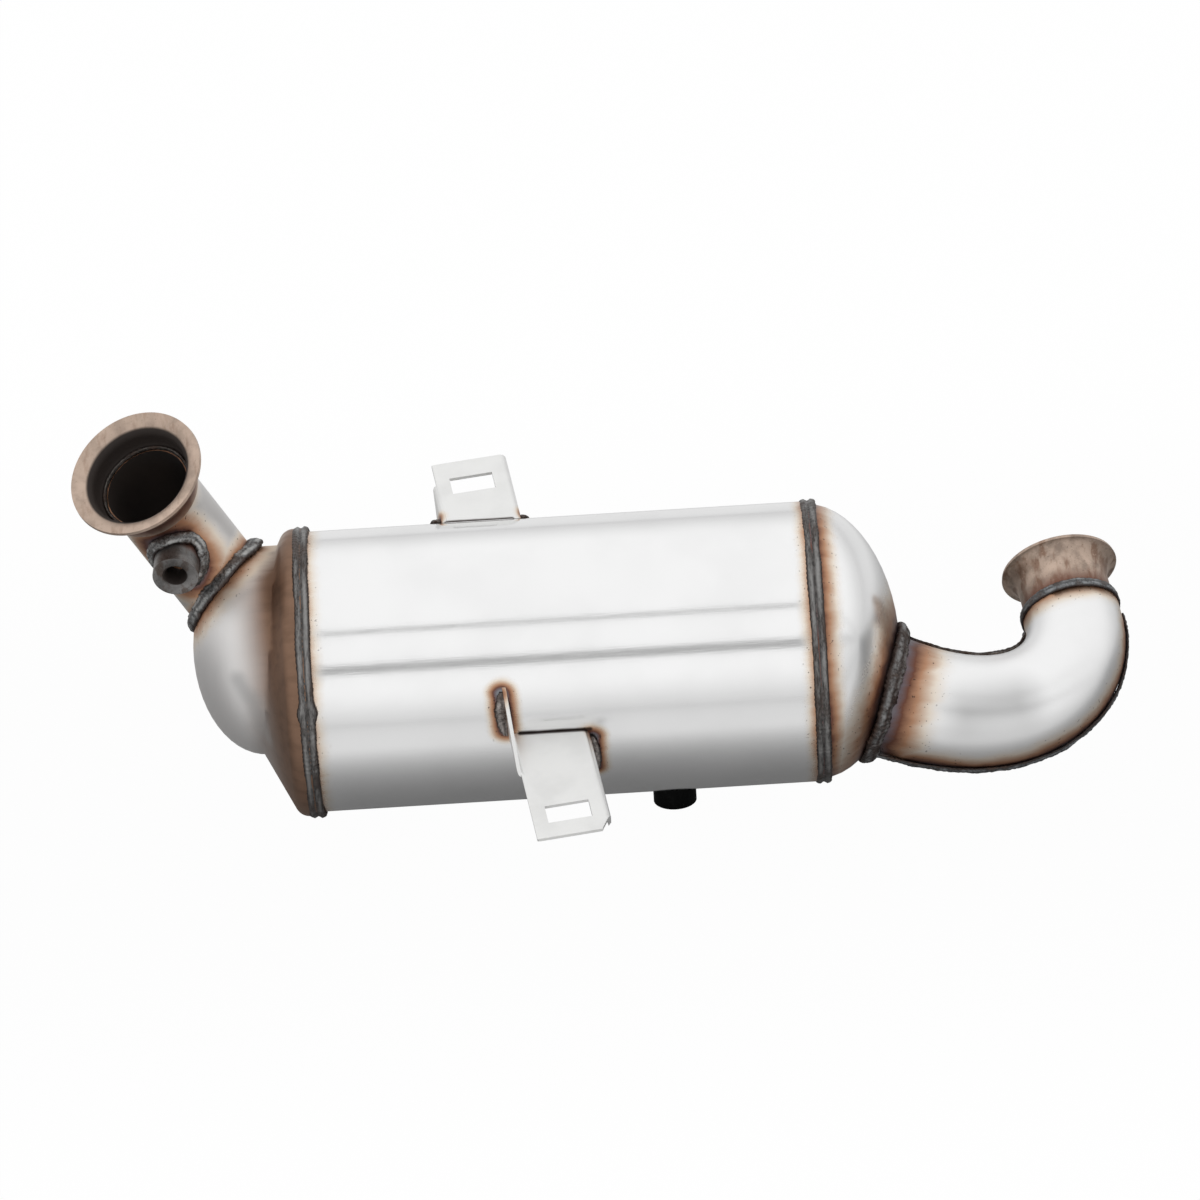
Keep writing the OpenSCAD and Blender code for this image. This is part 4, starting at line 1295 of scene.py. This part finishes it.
class FILTER_OT_welds(bpy.types.Operator):
    """Every weld bead"""

    bl_idname = "particulate_filter.welds"
    bl_label = "Weld Beads"

    def execute(self, context):
        tree = bead_tree()
        grey = weld_scale("weld_scale", (tuple(settings().bead_colour), GREY_SCALE[1]))
        girth = weld_scale("girth_weld_scale", GIRTH_SCALE, (1.3, 0.3, 0.3))
        pale = weld_scale("pale_weld_scale", PALE_SCALE)
        burnt = weld_scale("burnt_weld_scale", BURNT_SCALE)
        sooted = weld_scale("sooted_weld_scale", SOOTED_SCALE)
        browned = weld_scale("bracket_weld_scale", BRACKET_SCALE)
        for node in ("inlet_girth_weld", "outlet_girth_weld"):
            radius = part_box(node)[1].z - CAN_MIDDLE.z - GIRTH_CROWN
            loop = ring_loop(RINGS[node], 0, radius, LUMPS[node])
            bead_piece(node, tree, [loop], girth, GIRTH_BEAD)
        for node, material, bead in (
            ("elbow_port_weld", burnt, PORT_BEAD),
            ("outlet_pipe_weld", pale, PIPE_BEAD),
            ("sensor_boss_weld", pale, BOSS_BEAD),
            ("tap_boss_weld", grey, TAP_BEAD),
        ):
            loop = section_loop(node, RINGS[node], 45, LUMPS.get(node, ()))
            bead_piece(node, tree, [loop], material, bead)
        for node, facing, material, bead in (
            ("inlet_flange_weld", 10, grey, INLET_FLANGE_BEAD),
            ("outlet_flange_weld", 140, sooted, OUTLET_FLANGE_BEAD),
        ):
            ring = RINGS[node]
            bead_piece(node, tree, [ring_loop(ring, facing, ring.radius)], material, bead)
        for node, inward, bead in (
            ("elbow_outer_seam_weld", False, OUTER_SEAM_BEAD),
            ("elbow_inner_seam_weld", True, INNER_SEAM_BEAD),
        ):
            bead_piece(node, tree, [seam_loop(node, inward)], grey, bead)
        for node in LINES:
            bead_piece(node, tree, bracket_loops(node), browned, BRACKET_BEAD)
        return {"FINISHED"}


# Stage

# Two dark gaps in the studio, as metal shows it: angle up from the front, core, edge and depth
WIDE_GAP = (45, 2, 5, 0.6)
THIN_GAP = (75.6, 0.8, 2.4, 0.55)

# The photograph's view: its angles down and turned, and its aim from the canister's middle
VIEW_DOWN = math.radians(45)
VIEW_ROLL = math.radians(3.51)
VIEW_AIM = Vector((24.87, 21.13, 21.13)) * MM

LAMP_PLACE = Vector((-0.6, 0.9, 2.4))
LAMP_SIZE = 2.4
LAMP_POWER = 22
FLOOR_HALF = 12.0


class Rays:
    """Which kind of ray a shader answers."""

    def __init__(self, graph):
        path = graph.node("ShaderNodeLightPath")
        self.camera = Value(graph, path.outputs["Is Camera Ray"])
        self.glossy = Value(graph, path.outputs["Is Glossy Ray"])
        self.transmission = Value(graph, path.outputs["Is Transmission Ray"])


def dark_gap(graph, turn, gap):
    """How much a gap takes from the light at a turn."""
    angle, core, edge, depth = gap
    aside = abs(turn - math.radians(angle))
    return (1 - graph.smooth(aside, math.radians(core), math.radians(edge))) * depth


def studio_world():
    """White to the camera, a plain soft light, and two dark gaps in what metal shows."""
    world = bpy.data.worlds.new("studio")
    bpy.context.scene.world = world
    world.use_nodes = True
    world.node_tree.nodes.clear()
    graph = Graph(world.node_tree)
    rays = Rays(graph)
    direction = graph.value("ShaderNodeTexCoord", output="Generated")
    parts = graph.node("ShaderNodeSeparateXYZ", None, {0: direction})
    depth, height = Value(graph, parts.outputs["Y"]), Value(graph, parts.outputs["Z"])
    turn = graph.value("ShaderNodeMath", {"operation": "ARCTAN2"}, {0: height, 1: 0 - depth})
    gaps = dark_gap(graph, turn, WIDE_GAP).most(dark_gap(graph, turn, THIN_GAP))
    room = (0.72 + graph.smooth(height, -0.15, 0.5) * 0.36) * (1 - gaps)
    grey = graph.value("ShaderNodeCombineColor", None, {0: room, 1: room, 2: room})
    seen = graph.mix(rays.glossy, (1, 1, 1), grey)
    strength = rays.camera.most(rays.transmission).most(rays.glossy) * 0.3 + 0.7
    back = graph.value("ShaderNodeBackground", None, {"Color": seen, "Strength": strength})
    graph.node("ShaderNodeOutputWorld", None, {"Surface": back})


def soft_lamp(name, place, aim, size, power):
    """A wide square lamp that metal doesn't show."""
    lamp = bpy.data.lights.new(name, "AREA")
    lamp.shape = "RECTANGLE"
    lamp.size = lamp.size_y = size
    lamp.energy = power
    made = bpy.data.objects.new(name, lamp)
    made.visible_glossy = False
    made.location = place
    made.rotation_euler = (aim - place).to_track_quat("-Z", "Y").to_euler()
    bpy.context.scene.collection.objects.link(made)


def floor_white():
    """White to the camera, with a little of the shadow, and a painted shadow under the canister
    that metal shows.
    """
    made = bpy.data.materials.new("floor_white")
    made.use_nodes = True
    made.node_tree.nodes.clear()
    graph = Graph(made.node_tree)
    rays = Rays(graph)
    seen = rays.camera.most(rays.transmission).most(rays.glossy * 0.12)
    # Painted shadow: the floor's colour darkens in a strip under the canister
    depth = graph.value("ShaderNodeSeparateXYZ", None, {0: graph.place()}, "Y")
    near = graph.smooth(abs(depth - CAN_MIDDLE.y), 0.06, 0.34)
    shade = graph.mix(near, (0.2, 0.2, 0.2), (0.9, 0.9, 0.9))
    matt = graph.value("ShaderNodeBsdfDiffuse", None, {"Color": shade})
    white = graph.value("ShaderNodeEmission", None, {"Color": (1, 1, 1), "Strength": 1.0})
    both = graph.value("ShaderNodeMixShader", None, {0: seen * 0.98, 1: matt, 2: white})
    graph.node("ShaderNodeOutputMaterial", None, {"Surface": both})
    return made


def pale_floor(level):
    """A wide floor at the part's lowest point."""
    mesh = bpy.data.meshes.new("floor")
    signs = ((-1, -1), (1, -1), (1, 1), (-1, 1))
    corners = [(x * FLOOR_HALF, y * FLOOR_HALF, level) for x, y in signs]
    mesh.from_pydata(corners, [], [(0, 1, 2, 3)])
    mesh.materials.append(floor_white())
    floor = bpy.data.objects.new("floor", mesh)
    bpy.context.scene.collection.objects.link(floor)


def aimed_camera(distance, width):
    """A camera at a distance from the view's aim, wide enough to see a given width there."""
    back = Vector((0, -math.cos(VIEW_DOWN), math.sin(VIEW_DOWN)))
    level = Vector((1, 0, 0))
    upright = back.cross(level)
    right = level * math.cos(VIEW_ROLL) - upright * math.sin(VIEW_ROLL)
    top = level * math.sin(VIEW_ROLL) + upright * math.cos(VIEW_ROLL)
    camera = bpy.data.cameras.new("camera")
    camera.sensor_width = 36
    camera.lens = camera.sensor_width * distance / width
    camera.clip_end = 100
    made = bpy.data.objects.new("camera", camera)
    turned = Matrix((right, top, back)).transposed().to_4x4()
    made.matrix_world = Matrix.Translation(CAN_MIDDLE + VIEW_AIM + back * distance) @ turned
    bpy.context.scene.collection.objects.link(made)
    return made


class FILTER_OT_stage(bpy.types.Operator):
    """Floor, light, world and camera"""

    bl_idname = "particulate_filter.stage"
    bl_label = "Stage"

    def execute(self, context):
        scene = context.scene
        look = settings()
        scene.view_settings.view_transform = "Standard"
        lowest = LOADED_BOX[0][2]
        pale_floor(lowest)
        studio_world()
        soft_lamp("key", CAN_MIDDLE + LAMP_PLACE, CAN_MIDDLE, LAMP_SIZE, LAMP_POWER)
        scene.camera = aimed_camera(look.camera_distance, look.frame_width)
        return {"FINISHED"}


class FILTER_PT_panel(bpy.types.Panel):
    """Settings and steps of the particulate filter"""

    bl_label = "Particulate Filter"
    bl_idname = "FILTER_PT_panel"
    bl_space_type = "VIEW_3D"
    bl_region_type = "UI"
    bl_category = "Filter"

    def draw(self, context):
        look = context.scene.particulate_filter
        for name in look.bl_rna.properties.keys():
            if name not in ("rna_type", "name"):
                self.layout.prop(look, name)
        for step in STEPS:
            self.layout.operator(step.bl_idname)


STEPS = (
    FILTER_OT_canister,
    FILTER_OT_ducts,
    FILTER_OT_brackets,
    FILTER_OT_tap,
    FILTER_OT_bricks,
    FILTER_OT_welds,
    FILTER_OT_stage,
)
CLASSES = (FilterSettings, *STEPS, FILTER_PT_panel)


def register():
    for cls in CLASSES:
        bpy.utils.register_class(cls)
    bpy.types.Scene.particulate_filter = PointerProperty(type=FilterSettings)


def unregister():
    del bpy.types.Scene.particulate_filter
    for cls in reversed(CLASSES):
        bpy.utils.unregister_class(cls)


def main():
    register()
    bpy.ops.particulate_filter.canister()
    bpy.ops.particulate_filter.ducts()
    bpy.ops.particulate_filter.brackets()
    bpy.ops.particulate_filter.tap()
    bpy.ops.particulate_filter.bricks()
    bpy.ops.particulate_filter.welds()
    bpy.ops.particulate_filter.stage()


if __name__ == "__main__":
    main()
